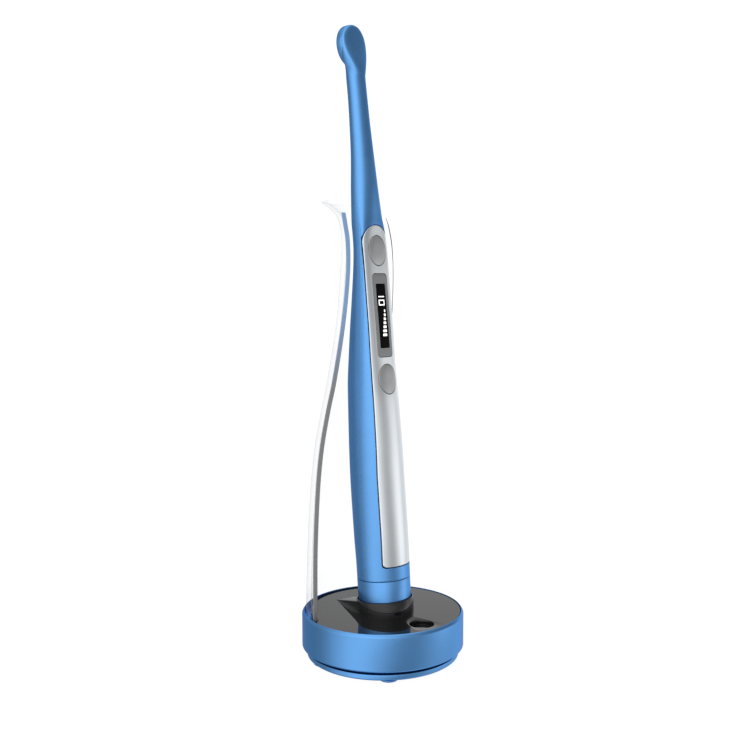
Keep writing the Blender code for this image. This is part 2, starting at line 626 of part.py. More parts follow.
def build_battery_spring():
    radius, wire = 3.2, 0.35
    low, high = 21.2, 26.3
    turns, steps, sides = 3, 9, 5
    total = turns * steps
    rings = []
    for k in range(total + 1):
        a = 2 * pi * k / steps
        out = Vector((cos(a), sin(a), 0))
        centre = Vector((0, BATTERY_Y, low + (high - low) * k / total)) + radius * out
        angles = [2 * pi * i / sides for i in range(sides)]
        rings.append([centre + wire * (out * cos(b) + Vector((0, 0, 1)) * sin(b))
                      for b in angles])
    loft("battery_spring", rings, HAND, "steel")


def build_tail():
    cap_r, cap_top = 11.37, SEAM - GAP / 2
    spigot_r, groove_r, groove_low, groove_high = 9.95, 9.25, 15.9, 17.1
    # up the outside, over the spigot and its seal groove, then down the inside
    lathe("tail_cap", [
        (9.0, TAIL_LOW + 0.05), (cap_r - 0.5, TAIL_LOW + 0.05), (cap_r, TAIL_LOW + 0.6),
        (11.4, 4), (11.48, cap_top), (spigot_r, cap_top), (spigot_r, groove_low),
        (groove_r, groove_low), (groove_r, groove_high), (spigot_r, groove_high),
        (spigot_r, 18.6), (8.6, 18.6), (8.6, -5.0), (9.0, -5.0)], HAND, 36, "blue_anodised")
    seal_r, seal_wire, seal_sides = 9.72, 0.38, 6
    seal_s = (groove_low + groove_high) / 2
    turns = [2 * pi * k / seal_sides for k in range(seal_sides)]
    lathe("tail_seal", [(seal_r + seal_wire * cos(a), seal_s + seal_wire * sin(a))
                        for a in turns], HAND, 28, "rubber")
    disc("charge_board", 8.2, 19.2, 20.2, HAND, 32, "circuit_green")

    # central pad and outer ring, let into the insulator in line with the socket's pins
    ring_in = CONTACT_OFFSETS[1] - CONTACT_RING_HALF
    ring_out = CONTACT_OFFSETS[1] + CONTACT_RING_HALF
    insulator = lathe("tail_insulator", [
        (0, TAIL_LOW + 0.2), (8.75, TAIL_LOW + 0.2), (8.75, -5.3), (8.35, -5.3),
        (8.35, -4.2), (0, -4.2)], HAND, 28, "black_plastic")
    boolean(insulator, disc("pad_hole_cutter", PAD_R + CONTACT_GAP, -9, -3, HAND, 20))
    boolean(insulator, disc("pad_groove_cutter", ring_out + CONTACT_GAP, -9, -6.4, HAND, 28,
                            inner=ring_in - CONTACT_GAP))
    disc("contact_pad", PAD_R, TAIL_LOW, -4.5, HAND, 20, "gold")
    disc("contact_ring", ring_out, TAIL_LOW, -6.7, HAND, 28, "gold", inner=ring_in)


def build_light_engine():
    """Parts in the head, stacked along the lens's axis, and the wires that feed them."""
    disc("heat_sink", ENGINE_R, 0.0, 0.5, LENS_AXIS, 28, "copper")
    disc("led_board", ENGINE_R, 0.65, 1.05, LENS_AXIS, 28, "circuit_green")
    box("led_die", (-1.2, -1.2, 1.15), (1.2, 1.2, 1.45), LENS_AXIS, "phosphor")
    lathe("reflector", [
        (1.9, 1.2), (4.9, 1.2), (4.9, 2.35), (4.55, 2.35), (3.3, 2.0), (2.3, 1.6)],
        LENS_AXIS, 24, "mirror_coat")
    lathe("lens", [
        (0, 2.5), (4.95, 2.5), (4.95, 2.95), (3.6, 3.2), (1.9, 3.36), (0, 3.42)],
        LENS_AXIS, 32, "optical_glass")
    lathe("lens_ring", [
        (5.15, 1.2), (6.2, 1.2), (6.2, LENS_FACE + 0.05), (5.9, LENS_FACE + 0.25),
        (5.3, LENS_FACE + 0.05), (5.15, 3.1)], LENS_AXIS, 28, "black_plastic")
    for k, (x, mat) in enumerate(((-0.75, "black_plastic"), (0.75, "red_wire"))):
        rod(f"led_wire_{k + 1}", (x, -1.6, 161.0), (x, 0.68, 234.4), 0.45, 8, mat)


build_base_ring()
build_top_plate()
build_underside()
build_stand_electronics()
build_shield()
build_shell()
build_front()
build_boards()
build_battery()
build_battery_spring()
build_tail()
build_light_engine()
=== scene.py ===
"""Looks for a cordless curing light standing in its charging base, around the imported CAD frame.

Shapes are written in millimetres and scaled to metres. The stand sits on z = 0, centred on the
z axis. The handpiece's front, with its panel and keys, faces -y. Its lamp and the clear shield
are at the back, towards +y. In the handpiece's own frame z runs along it, up from the socket.
"""
import json
import bpy
import bmesh
from math import sin, cos, pi, radians, sqrt, hypot, atan2
from mathutils import Matrix, Vector

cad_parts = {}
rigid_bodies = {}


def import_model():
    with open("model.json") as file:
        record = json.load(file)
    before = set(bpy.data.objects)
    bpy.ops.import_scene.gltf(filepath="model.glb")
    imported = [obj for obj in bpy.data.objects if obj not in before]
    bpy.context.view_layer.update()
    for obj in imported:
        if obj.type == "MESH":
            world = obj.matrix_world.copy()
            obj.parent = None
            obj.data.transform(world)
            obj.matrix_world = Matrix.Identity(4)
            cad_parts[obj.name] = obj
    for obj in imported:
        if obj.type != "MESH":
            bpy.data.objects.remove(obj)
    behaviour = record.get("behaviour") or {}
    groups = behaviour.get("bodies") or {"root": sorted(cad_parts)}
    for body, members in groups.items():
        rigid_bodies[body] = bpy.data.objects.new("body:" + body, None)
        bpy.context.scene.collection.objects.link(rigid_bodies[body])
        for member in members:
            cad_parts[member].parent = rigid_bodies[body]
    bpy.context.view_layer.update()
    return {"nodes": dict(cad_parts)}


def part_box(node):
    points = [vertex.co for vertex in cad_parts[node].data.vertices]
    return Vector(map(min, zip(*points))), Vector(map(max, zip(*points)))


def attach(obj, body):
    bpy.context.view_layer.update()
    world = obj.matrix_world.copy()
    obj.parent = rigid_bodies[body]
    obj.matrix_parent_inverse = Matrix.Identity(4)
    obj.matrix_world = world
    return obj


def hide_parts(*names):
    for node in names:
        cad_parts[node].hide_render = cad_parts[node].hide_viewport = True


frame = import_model()
FINE = 1.0
MM = 0.001

# ================================================================ dimensions (millimetres, degrees)
# ---- stand
PLATE_TOP, PLATE_GAP = 20.8, 0.3
RING_R, RING_TOP, RING_LOW, RING_SEAT_R = 35.0, 21.1, 5.4, 33.95
LEDGE_R, LEDGE_Z = 30.5, 17.4
COVER_R, COVER_LOW, COVER_TOP = 32.8, 1.2, 3.9
COVER_FLOOR, COVER_LIP_TOP, COVER_LIP_R, COVER_LIP_INNER_R = 3.6, 5.9, 29.9, 28.4
FOOT_R, FOOT_PCD_R, FOOT_H, FEET = 4.0, 27.5, 1.05, 5
SCREWS, SCREW_LOW, SCREW_R, SHANK_R, SHANK_Z = 3, 1.35, 2.2, 1.1, 2.4
JACK_HALF, JACK_LOW, JACK_TOP, JACK_CORNER, JACK_GAP = 4.6, 10.4, 13.8, 1.6, 0.3
LEAN, TURN, SOCKET_Y = 3.7, 9.0, -1.35
SOCKET_R, SOCKET_DEPTH, SOCKET_WALL, SOCKET_FLARE = 11.8, 9.2, 1.4, 0.2
COLLAR_R, COLLAR_H = 12.35, 5.75
PIN_HOLE_R, PIN_PITCH = 1.35, 5.7
WELL_X, WELL_Y, WELL_R, WELL_STEP_R, WELL_STEP_Z = -8.8, -24.1, 5.1, 3.0, 18.3
FAIRING_START_Y, FAIRING_TIP_Y, FAIRING_HALF, FAIRING_TIP_HALF, FAIRING_H = 4.4, 23.8, 11.05, 0.3, 5.3
SHIELD_HALF_ANGLE, SHIELD_SLOT_PLAY, SHIELD_T = 61.0, 1.2, 2.0
SLOT_INNER_R, SLOT_OUTER_R = 31.2, 36.0
PAINTED_EDGE_TOP = 169.0  # height over the plate at which the shield's frosted side edges, with their painted light, end

# ---- handpiece
TAIL_LOW, SEAM, SEAM_HALF_GAP, WALL = -8.2, 14.6, 0.06, 1.2
PANEL_LOW, PANEL_TOP, PANEL_HALF_TOP, PANEL_HALF_LOW, PANEL_T = 20.6, 165.4, 7.95, 8.85, 1.1
PANEL_ARCH, PANEL_CORNER = PANEL_TOP - PANEL_HALF_TOP, 1.6
TAPER_START, TAPER_LENGTH = 60, 45
KEY_HALF_W, KEY_HALF_H, POWER_KEY_Z, MODE_KEY_Z = 5.35, 6.3, 154.6, 100.1
BEZEL_LOW, BEZEL_TOP, BEZEL_HALF, BEZEL_CORNER = 109.6, 144.8, 4.6, 1.6
WINDOW_LOW, WINDOW_TOP, WINDOW_HALF, WINDOW_CORNER = 113.4, 140.5, 3.0, 0.4
CUT_FRONT, CUT_BACK = -14, -2  # y range of the cutters that pass through the front panel
CAP_R, CAP_INNER_R, CAP_SPIGOT_R, SEAL_R, SEAL_Z = 11.37, 8.6, 9.95, 9.72, 16.5
LAMP_Z, LAMP_HALF_W, LAMP_HALF_H, LENS_FACE = 241.9, 7.5, 8.565, 3.4

# Handpiece body: z, half width, depth to the front, depth to the back,
# shift of the centre to the front, exponent of the front curve
BODY_ROWS = [
    (-8.2, 11.35, 11.35, 11.35, 0.0, 2.0), (4, 11.4, 11.4, 11.4, 0.0, 2.0),
    (22, 11.6, 11.5, 11.5, 0.05, 2.0), (31, 11.7, 11.6, 11.7, -0.1, 2.05),
    (45, 11.7, 11.5, 11.75, -0.3, 2.1), (57, 11.65, 11.4, 11.7, -0.45, 2.15),
    (70, 11.45, 11.1, 11.5, -0.45, 2.25), (83, 11.0, 10.5, 11.2, -0.42, 2.4),
    (92, 10.6, 9.9, 10.95, -0.4, 2.6), (100.3, 10.2, 9.0, 10.7, -0.3, 2.9),
    (110.2, 9.9, 8.0, 9.9, 0.2, 3.1), (121.8, 9.5, 6.9, 9.1, 0.95, 3.5),
    (134.6, 9.05, 5.6, 7.9, 1.8, 3.8), (147.5, 8.7, 4.45, 6.6, 2.55, 4.0),
    (155.1, 8.45, 4.0, 6.05, 2.75, 4.0), (161.1, 8.05, 4.2, 6.0, 2.5, 3.7),
    (166.2, 7.55, 4.75, 6.1, 2.0, 3.0), (168.7, 7.2, 4.95, 6.0, 1.75, 2.7),
    (175.5, 6.75, 5.2, 5.6, 1.5, 2.3), (182.3, 6.2, 5.2, 5.4, 1.4, 2.1),
    (195.8, 5.2, 4.7, 4.7, 1.25, 2.0), (209.3, 4.6, 4.2, 4.2, 0.8, 2.0),
    (219.4, 4.35, 4.0, 4.0, 0.45, 2.0), (228.6, 4.3, 3.95, 3.95, 0.0, 2.0),
]
# Head above the neck: z, half width, y of the front, y of the back
HEAD_ROWS = [
    (228.6, 4.3, -3.95, 3.95), (232.0, 4.75, -3.75, 3.2), (235.0, 5.9, -3.2, 2.6),
    (238.0, 6.85, -2.5, 2.3), (241.9, 7.3, -1.75, 2.2), (245.5, 6.75, -1.35, 2.1),
    (248.2, 5.1, -1.05, 2.0), (249.64, 3.2, -0.75, 1.9), (250.2, 1.2, -0.3, 1.6),
]
NECK_TOP, HEAD_TOP = HEAD_ROWS[0][0], HEAD_ROWS[-1][0]
HEAD_BLEND, HEAD_SHIFT = 3.4, 0.62  # the head's centre moves back by the shift over the blend
# Clear shield: height over the plate, half width, y of the side edges, bulge of the arc behind them
SHIELD_ROWS = [
    (-3.1, 29.3, 16.25, 17.25), (5, 29.15, 16.25, 16.95), (30, 28.4, 16.5, 15.7),
    (55, 26.6, 16.4, 14.4), (72, 25.0, 15.5, 13.5), (88, 23.8, 13.0, 12.7),
    (100, 22.7, 10.7, 12.4), (124, 20.5, 7.6, 11.5), (145, 19.2, 6.0, 11.4),
    (158, 18.7, 6.5, 10.0), (166, 18.5, 8.0, 9.8), (170, 17.9, 9.0, 11.4),
    (173.5, 16.8, 10.1, 15.0), (175.5, 15.8, 11.0, 17.3),
]

# ---- frames: each turns millimetres of its own into metres of the scene
STAND = Matrix.Scale(MM, 4)
SOCKET = (STAND @ Matrix.Translation((0, SOCKET_Y, PLATE_TOP))
          @ Matrix.Rotation(radians(-LEAN), 4, "X"))
HAND = SOCKET @ Matrix.Rotation(radians(-TURN), 4, "Z")
# z of the lens frame points out of the lamp, to the handpiece's back
LENS = HAND @ Matrix.Translation((0, 0, LAMP_Z)) @ Matrix.Rotation(radians(-90), 4, "X")

RING_SEGMENTS = int(180 * FINE)
SOCKET_SEGMENTS = int(112 * FINE)
SHELL_SEGMENTS = int(112 * FINE) // 2 * 2


# ================================================================ curves and sections
def smooth_row(rows, at):
    """Values of a table at one place of its first column, on a smooth curve, flat at its start."""
    if at <= rows[0][0]:
        return rows[0][1:]
    if at >= rows[-1][0]:
        return rows[-1][1:]
    i = max(k for k in range(len(rows) - 1) if rows[k][0] <= at)
    low, high = rows[i], rows[i + 1]
    before, after = rows[max(i - 1, 0)], rows[min(i + 2, len(rows) - 1)]
    gap = high[0] - low[0]
    t = (at - low[0]) / gap
    values = []
    for k in range(1, len(low)):
        slope_low = (high[k] - before[k]) / (high[0] - before[0]) if i else 0.0
        slope_high = (after[k] - low[k]) / (after[0] - low[0])
        values.append((2 * t**3 - 3 * t**2 + 1) * low[k] + (t**3 - 2 * t**2 + t) * gap * slope_low
                      + (-2 * t**3 + 3 * t**2) * high[k] + (t**3 - t**2) * gap * slope_high)
    return values


def clamp(value):
    return min(max(value, 0.0), 1.0)


def signed_power(value, power):
    return (1 if value >= 0 else -1) * abs(value) ** power


def front_y(x, z):
    """Where the body's front skin lies."""
    half, front, _, shift, power = smooth_row(BODY_ROWS, z)
    share = min(abs(x) / half, 1.0)
    return -shift - front * (1 - share**power) ** (1 / power)


def skin_point(x, z, depth):
    """A point at a depth under the front skin, square to it."""
    step = 0.02
    slope = (front_y(x + step, z) - front_y(x - step, z)) / (2 * step)
    length = hypot(slope, 1.0)
    return Vector((x - slope * depth / length, front_y(x, z) + depth / length, z))


def even(points, count):
    """Points spread evenly along an open polyline."""
    run = [0.0]
    for a, b in zip(points, points[1:]):
        run.append(run[-1] + (b - a).length)
    spread, j = [], 0
    for k in range(count):
        want = run[-1] * k / (count - 1)
        while j < len(points) - 2 and run[j + 1] < want:
            j += 1
        t = (want - run[j]) / max(run[j + 1] - run[j], 1e-9)
        spread.append(points[j].lerp(points[j + 1], clamp(t)))
    return spread


def even_ring(point_at, count):
    """A closed section from a function of the angle, evenly spaced on its back and front halves."""
    half = count // 2
    back = even([point_at(pi * i / 160) for i in range(161)], half + 1)
    front = even([point_at(pi + pi * i / 160) for i in range(161)], half + 1)
    return back[:-1] + front[:-1]


def body_ring(z, count, depth=0.0):
    half, front, back, shift, power = smooth_row(BODY_ROWS, z)
    half, front, back = half - depth, front - depth, back - depth

    def point_at(angle):
        across, along = cos(angle), sin(angle)
        if along < -1e-9:
            return Vector((half * signed_power(across, 2 / power),
                           -shift - front * abs(along) ** (2 / power), z))
        return Vector((half * across, -shift + back * max(along, 0.0), z))
    return even_ring(point_at, count)


def head_ring(z, count):
    half, front, back = smooth_row(HEAD_ROWS, z)
    t = clamp((z - NECK_TOP) / HEAD_BLEND)
    middle = HEAD_SHIFT * t * t * (3 - 2 * t)
    front_power = 2.0 + 0.9 * t

    def point_at(angle):
        across, along = cos(angle), sin(angle)
        reach = middle - front if along < 0 else back - middle
        power = 2.0 if along > 0 else front_power
        return Vector((half * signed_power(across, 2 / power),
                       middle + reach * signed_power(along, 2 / power), z))
    return even_ring(point_at, count)


# ================================================================ flat outlines
def ellipse(centre, half_width, half_height, count):
    return [(half_width * cos(2 * pi * i / count), centre + half_height * sin(2 * pi * i / count))
            for i in range(count)]


def rounded(x0, y0, x1, y1, radius, steps=8):
    """Rectangle with rounded corners."""
    points = []
    for x, y, start in ((x1 - radius, y1 - radius, 0), (x0 + radius, y1 - radius, 90),
                        (x0 + radius, y0 + radius, 180), (x1 - radius, y0 + radius, 270)):
        for k in range(steps + 1):
            angle = radians(start + 90 * k / steps)
            points.append((x + radius * cos(angle), y + radius * sin(angle)))
    return points


def centred(half, low, high, radius, grow=0.0, steps=8):
    """Rounded rectangle centred on x = 0, grown all round."""
    return rounded(-half - grow, low - grow, half + grow, high + grow, radius + grow, steps)


def divided(outline, longest):
    """The same outline with its long straight sides divided."""
    points = []
    for (x0, y0), (x1, y1) in zip(outline, outline[1:] + outline[:1]):
        parts = max(int(hypot(x1 - x0, y1 - y0) / longest), 1)
        for k in range(parts):
            points.append((x0 + (x1 - x0) * k / parts, y0 + (y1 - y0) * k / parts))
    return points


def soften(profile, radius, closed=True):
    """Rounds every corner of a turned profile by up to a radius."""
    points, count, steps = [], len(profile), 3
    for i, corner in enumerate(profile):
        if corner[0] < 1e-6 or (not closed and i in (0, count - 1)):
            points.append(corner)
            continue
        ends = []
        for other in (profile[i - 1], profile[(i + 1) % count]):
            length = hypot(other[0] - corner[0], other[1] - corner[1])
            share = min(radius, 0.42 * length) / length
            ends.append([corner[j] + (other[j] - corner[j]) * share for j in (0, 1)])
        for k in range(steps + 1):
            t = k / steps
            points.append(tuple((1 - t) ** 2 * ends[0][j] + 2 * t * (1 - t) * corner[j]
                                + t * t * ends[1][j] for j in (0, 1)))
    return points


# ================================================================ meshes
def finish_shading(mesh, angle):
    mesh.shade_smooth()
    mesh.set_sharp_from_angle(angle=radians(angle))


def emit(name, bm, where, angle=35):
    """Makes an object of a bmesh, smooth except over edges sharper than the angle."""
    bmesh.ops.recalc_face_normals(bm, faces=bm.faces)
    mesh = bpy.data.meshes.new(name)
    bm.to_mesh(mesh)
    bm.free()
    mesh.transform(where)
    ob = bpy.data.objects.new(name, mesh)
    bpy.context.scene.collection.objects.link(ob)
    finish_shading(mesh, angle)
    return ob


def loft(name, rings, where, angle=35):
    bm = bmesh.new()
    rows = [[bm.verts.new(p) for p in ring] for ring in rings]
    count = len(rings[0])
    for a, b in zip(rows, rows[1:]):
        for i in range(count):
            j = (i + 1) % count
            bm.faces.new((a[i], a[j], b[j], b[i]))
    bm.faces.new(list(reversed(rows[0])))
    bm.faces.new(rows[-1])
    return emit(name, bm, where, angle)


def lathe(name, profile, where, segments, closed=False, at=(0, 0), angle=35):
    """Turns a profile of (radius, z) about an upright axis."""
    bm = bmesh.new()
    rows = []
    for radius, z in profile:
        if radius < 1e-6:
            rows.append([bm.verts.new((at[0], at[1], z))])
        else:
            turns = [2 * pi * i / segments for i in range(segments)]
            rows.append([bm.verts.new((at[0] + radius * cos(a), at[1] + radius * sin(a), z))
                         for a in turns])
    pairs = list(zip(rows, rows[1:]))
    if closed:
        pairs.append((rows[-1], rows[0]))
    for a, b in pairs:
        if len(a) == 1 and len(b) == 1:
            continue
        for i in range(segments):
            j = (i + 1) % segments
            if len(a) == 1:
                bm.faces.new((a[0], b[j], b[i]))
            elif len(b) == 1:
                bm.faces.new((a[i], a[j], b[0]))
            else:
                bm.faces.new((a[i], a[j], b[j], b[i]))
    if not closed:
        if len(rows[0]) > 1:
            bm.faces.new(list(reversed(rows[0])))
        if len(rows[-1]) > 1:
            bm.faces.new(rows[-1])
    return emit(name, bm, where, angle)


def prism(name, outline, low, high, where):
    """An outline of (x, y) pulled up along z."""
    return loft(name, [[Vector((x, y, z)) for x, y in outline] for z in (low, high)], where)


def prism_y(name, outline, low, high, where):
    """An outline of (x, z) pulled along y."""
    return loft(name, [[Vector((x, y, z)) for x, z in outline] for y in (low, high)], where)


def rod(name, start, end, radius, where, segments=24):
    start, end = Vector(start), Vector(end)
    along = (end - start).normalized()
    side = along.orthogonal().normalized()
    other = along.cross(side)
    turns = [2 * pi * i / segments for i in range(segments)]
    return loft(name, [[p + radius * (side * cos(a) + other * sin(a)) for a in turns]
                       for p in (start, end)], where)


def carve(ob, cuts, joins=(), angle=35):
    """Joins, then cuts, with exact Booleans one after another, and removes the tools."""
    tools = [(tool, "UNION") for tool in joins] + [(tool, "DIFFERENCE") for tool in cuts]
    for tool, operation in tools:
        modifier = ob.modifiers.new("b", "BOOLEAN")
        modifier.operation = operation
        modifier.solver = "EXACT"
        modifier.object = tool
    graph = bpy.context.evaluated_depsgraph_get()
    graph.update()
    mesh = bpy.data.meshes.new_from_object(ob.evaluated_get(graph), depsgraph=graph)
    ob.modifiers.clear()
    old = ob.data
    ob.data = mesh
    bpy.data.meshes.remove(old)
    for tool, _ in tools:
        data = tool.data
        bpy.data.objects.remove(tool, do_unlink=True)
        bpy.data.meshes.remove(data)
    bm = bmesh.new()
    bm.from_mesh(mesh)
    bmesh.ops.remove_doubles(bm, verts=bm.verts, dist=2e-7)
    bm.to_mesh(mesh)
    bm.free()
    mesh.name = ob.name
    finish_shading(mesh, angle)


def inlay(name, outline, centre, rise, depth, rings, edge, crown=0.0, stem=None):
    """Solid on the handpiece's front skin inside an outline of (x, z).

    It stands proud by the rise, more by the crown in the middle, and has a rounded rim. A stem
    is given as its radius and the y of its tip, behind the piece.
    """
    bm = bmesh.new()
    count = len(outline)
    size = min(hypot(x, z - centre) for x, z in outline)
    rim = [1 - edge * (1 - sin(radians(a))) / size for a in (0, 22, 45, 65, 80)]
    inner = [j / rings for j in range(1, rings) if j / rings < rim[0] - 0.01]
    top = bm.verts.new((0, front_y(0, centre) - rise - crown, centre))
    rows = []
    for share in sorted(set(inner + rim + [1.0])):
        inset = (1 - share) * size
        drop = edge - sqrt(max(edge * edge - max(edge - inset, 0.0) ** 2, 0.0))
        row = []
        for x_out, z_out in outline:
            x, z = x_out * share, centre + (z_out - centre) * share
            y = front_y(x, z) - rise - crown * (1 - share**3) + drop
            row.append(bm.verts.new((x, y, z)))
        rows.append(row)
    low_y = [front_y(x, z) + depth for x, z in outline]
    base = [bm.verts.new((x, y, z)) for (x, z), y in zip(outline, low_y)]
    for i in range(count):
        j = (i + 1) % count
        bm.faces.new((top, rows[0][i], rows[0][j]))
        for a, b in zip(rows, rows[1:] + [base]):
            bm.faces.new((a[i], b[i], b[j], a[j]))
    if stem:
        radius, end = stem
        neck_y = sum(low_y) / count
        neck = [bm.verts.new((radius * x / hypot(x, z - centre), neck_y,
                              centre + radius * (z - centre) / hypot(x, z - centre)))
                for x, z in outline]
        tip = [bm.verts.new((v.co.x, end, v.co.z)) for v in neck]
        for i in range(count):
            j = (i + 1) % count
            bm.faces.new((base[i], neck[i], neck[j], base[j]))
            bm.faces.new((neck[i], tip[i], tip[j], neck[j]))
        bm.faces.new(tip)
    else:
        middle = bm.verts.new((0, front_y(0, centre) + depth, centre))
        for i in range(count):
            bm.faces.new((base[i], middle, base[(i + 1) % count]))
    return emit(name, bm, HAND)


def piece(ob, body, node):
    """Tells the frame which body the piece rides on and the node it replaces."""
    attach(ob, body)
    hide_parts(node)


# ================================================================ stand
def make_ring():
    """Outer ring with a ledge for the plate and a notch for the jack at the back."""
    ring = lathe("ring_body", soften([
        (RING_R - 0.7, RING_LOW), (RING_R, RING_LOW + 0.7), (RING_R, RING_TOP - 1.15),
        (RING_R - 0.8, RING_TOP), (RING_SEAT_R, RING_TOP), (RING_SEAT_R, LEDGE_Z),
        (LEDGE_R, LEDGE_Z), (LEDGE_R, RING_LOW)], 0.28), STAND, RING_SEGMENTS, closed=True)
    notch = centred(JACK_HALF, JACK_LOW, JACK_TOP, JACK_CORNER, grow=JACK_GAP)
    carve(ring, [prism_y("tool", notch, 27.0, 40.0, STAND)])
    piece(ring, "stand", "base_ring")


def fairing():
    """Ridge that runs back from the collar, sinking and narrowing to a tip, with flared sides."""
    rings = []
    for k in range(33):
        t = k / 32
        y = FAIRING_START_Y + (FAIRING_TIP_Y - FAIRING_START_Y) * t
        half = FAIRING_HALF * (1 - t) + FAIRING_TIP_HALF * t
        high = FAIRING_H * (1 - t) + 0.12
        flare = 1.5 * sin(pi * t) ** 0.8 * (1 - 0.4 * t)
        radius = min(0.3, 0.5 * half, 0.5 * high)
        rise = 0.98 * high - radius
        side = [(half + flare, -1.0)]
        for q in range(11):
            angle = pi / 2 * q / 10
            side.append((half + flare * (1 - sin(angle)),
                         0.02 + rise * (1 - cos(angle)) * 0.75 + rise * 0.25 * q / 10))
        for degrees in (22, 45, 68, 90):
            angle = radians(degrees)
            side.append((half - radius * (1 - cos(angle)), high - radius + radius * sin(angle)))
        rings.append([Vector((-x, y, PLATE_TOP + z)) for x, z in side]
                     + [Vector((x, y, PLATE_TOP + z)) for x, z in reversed(side)])
    return loft("tool", rings, STAND)


def shield_slot():
    """Cutter for the arc along the plate's back rim where the shield stands."""
    span = SHIELD_HALF_ANGLE + SHIELD_SLOT_PLAY
    arc = [radians(90 - span + 2 * span * k / 80) for k in range(81)]
    outline = [(SLOT_OUTER_R * cos(a), SLOT_OUTER_R * sin(a)) for a in arc]
    outline += [(SLOT_INNER_R * cos(a), SLOT_INNER_R * sin(a)) for a in reversed(arc)]
    return prism("tool", outline, 15.0, 25.0, STAND)


def make_plate():
    """Top plate with the leaning socket, its collar and fairing, a round well and pin holes."""
    rim = RING_SEAT_R - 0.25
    plate = lathe("plate_body", [
        (0, LEDGE_Z + PLATE_GAP), (rim, LEDGE_Z + PLATE_GAP), (rim, PLATE_TOP - 0.12),
        (rim - 0.12, PLATE_TOP), (0, PLATE_TOP)], STAND, RING_SEGMENTS + 1)
    cup_r, cup_low = SOCKET_R + SOCKET_WALL, -SOCKET_DEPTH - SOCKET_WALL
    collar = lathe("tool", [
        (0, cup_low), (cup_r, cup_low), (cup_r, -1.5), (COLLAR_R, -1.3),
        (COLLAR_R, COLLAR_H - 0.16), (COLLAR_R - 0.05, COLLAR_H - 0.05),
        (COLLAR_R - 0.16, COLLAR_H), (0, COLLAR_H)], SOCKET, SOCKET_SEGMENTS)
    mouth_r = SOCKET_R + SOCKET_FLARE
    bore = lathe("tool", [
        (0, -SOCKET_DEPTH), (SOCKET_R, -SOCKET_DEPTH), (SOCKET_R, COLLAR_H - 0.2),
        (mouth_r, COLLAR_H + 0.02), (mouth_r, 12.0), (0, 12.0)], SOCKET, SOCKET_SEGMENTS)
    well = lathe("tool", [
        (0, 15.0), (WELL_STEP_R, 15.0), (WELL_STEP_R, WELL_STEP_Z), (WELL_R - 0.2, WELL_STEP_Z),
        (WELL_R, WELL_STEP_Z + 0.2), (WELL_R, PLATE_TOP - 0.35), (WELL_R + 0.12, PLATE_TOP - 0.12),
        (WELL_R + 0.35, PLATE_TOP), (WELL_R + 0.35, 24.0), (0, 24.0)], STAND, 72,
        at=(WELL_X, WELL_Y))
    pin_holes = [lathe("tool", [(0, -14), (PIN_HOLE_R, -14), (PIN_HOLE_R, -8), (0, -8)],
                       SOCKET, 24, at=(0, y)) for y in (0.0, PIN_PITCH)]
    carve(plate, [bore, well, *pin_holes, shield_slot()], joins=[collar, fairing()], angle=28)
    piece(plate, "stand", "top_plate")


def make_screw(number, x, y):
    """Cross-headed screw, head down, with its thread as rings."""
    thread = [(SHANK_R - 0.16 * (j % 2), 2.6 + 0.2 * j) for j in range(36)]
    screw = lathe("screw_%d" % (number + 1), [
        (0, SCREW_LOW), (1.7, SCREW_LOW), (2.05, SCREW_LOW + 0.1), (SCREW_R, 1.7),
        (SCREW_R, SHANK_Z), (SHANK_R, SHANK_Z)] + thread + [(0.9, 9.8), (0, 9.8)],
        STAND, 40, at=(x, y), angle=50)
    long, wide = 1.25, 0.26  # half length and half width of the cross's bars
    bars = []
    for bar in range(2):
        turn = radians(17 + 41 * number) + bar * pi / 2
        c, s = cos(turn), sin(turn)
        corners = [(x + c * along - s * across, y + s * along + c * across) for along, across in
                   ((-long, -wide), (long, -wide), (long, wide), (-long, wide))]
        bars.append(prism("tool", corners, 1.0, 1.95 + 0.02 * bar, STAND))
    carve(screw, bars, angle=40)
    return screw


def make_cover_and_screws():
    """Bottom cover with a lip, and the screws in its counterbored holes."""
    cover = lathe("under_cover", soften([
        (0, COVER_LOW), (COVER_R - 1.1, COVER_LOW), (COVER_R, COVER_LOW + 0.8),
        (COVER_R, COVER_TOP), (COVER_LIP_R, COVER_TOP), (COVER_LIP_R, COVER_LIP_TOP),
        (COVER_LIP_INNER_R, COVER_LIP_TOP), (COVER_LIP_INNER_R, COVER_FLOOR), (0, COVER_FLOOR)],
        0.2, closed=False), STAND, RING_SEGMENTS - 13)
    holes, screws = [], []
    for k in range(SCREWS):
        low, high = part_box("base_screw_%d" % (k + 1))
        x, y = (low.x + high.x) / 2 / MM, (low.y + high.y) / 2 / MM
        holes.append(lathe("tool", [(0, 0), (2.6, 0), (2.5, 1.35), (2.5, 2.7), (1.4, 2.7),
                                    (1.4, 9), (0, 9)], STAND, 40, at=(x, y)))
        screws.append(make_screw(k, x, y))
    carve(cover, holes)
    piece(cover, "stand", "bottom_cover")
    for k, screw in enumerate(screws):
        piece(screw, "stand", "base_screw_%d" % (k + 1))


def make_feet():
    for k in range(FEET):
        angle = radians(-54 + 360 // FEET * k)
        foot = lathe("foot_pad_%d" % (k + 1), soften([
            (0, 0), (FOOT_R - 0.45, 0), (FOOT_R, 0.4), (FOOT_R, FOOT_H), (0, FOOT_H)],
            0.25, closed=False), STAND, 48, at=(FOOT_PCD_R * sin(angle), -FOOT_PCD_R * cos(angle)))
        piece(foot, "stand", "foot_%d" % (k + 1))


def make_jack():
    """Power jack in the back of the ring, with its open mouth."""
    jack = prism_y("power_jack", centred(JACK_HALF, JACK_LOW, JACK_TOP, JACK_CORNER),
                   21.0, 34.4, STAND)
    mouth = centred(half=3.9, low=11.1, high=13.1, radius=0.95)
    carve(jack, [prism_y("tool", mouth, 28.0, 36.0, STAND)])
    piece(jack, "stand", "dc_jack")


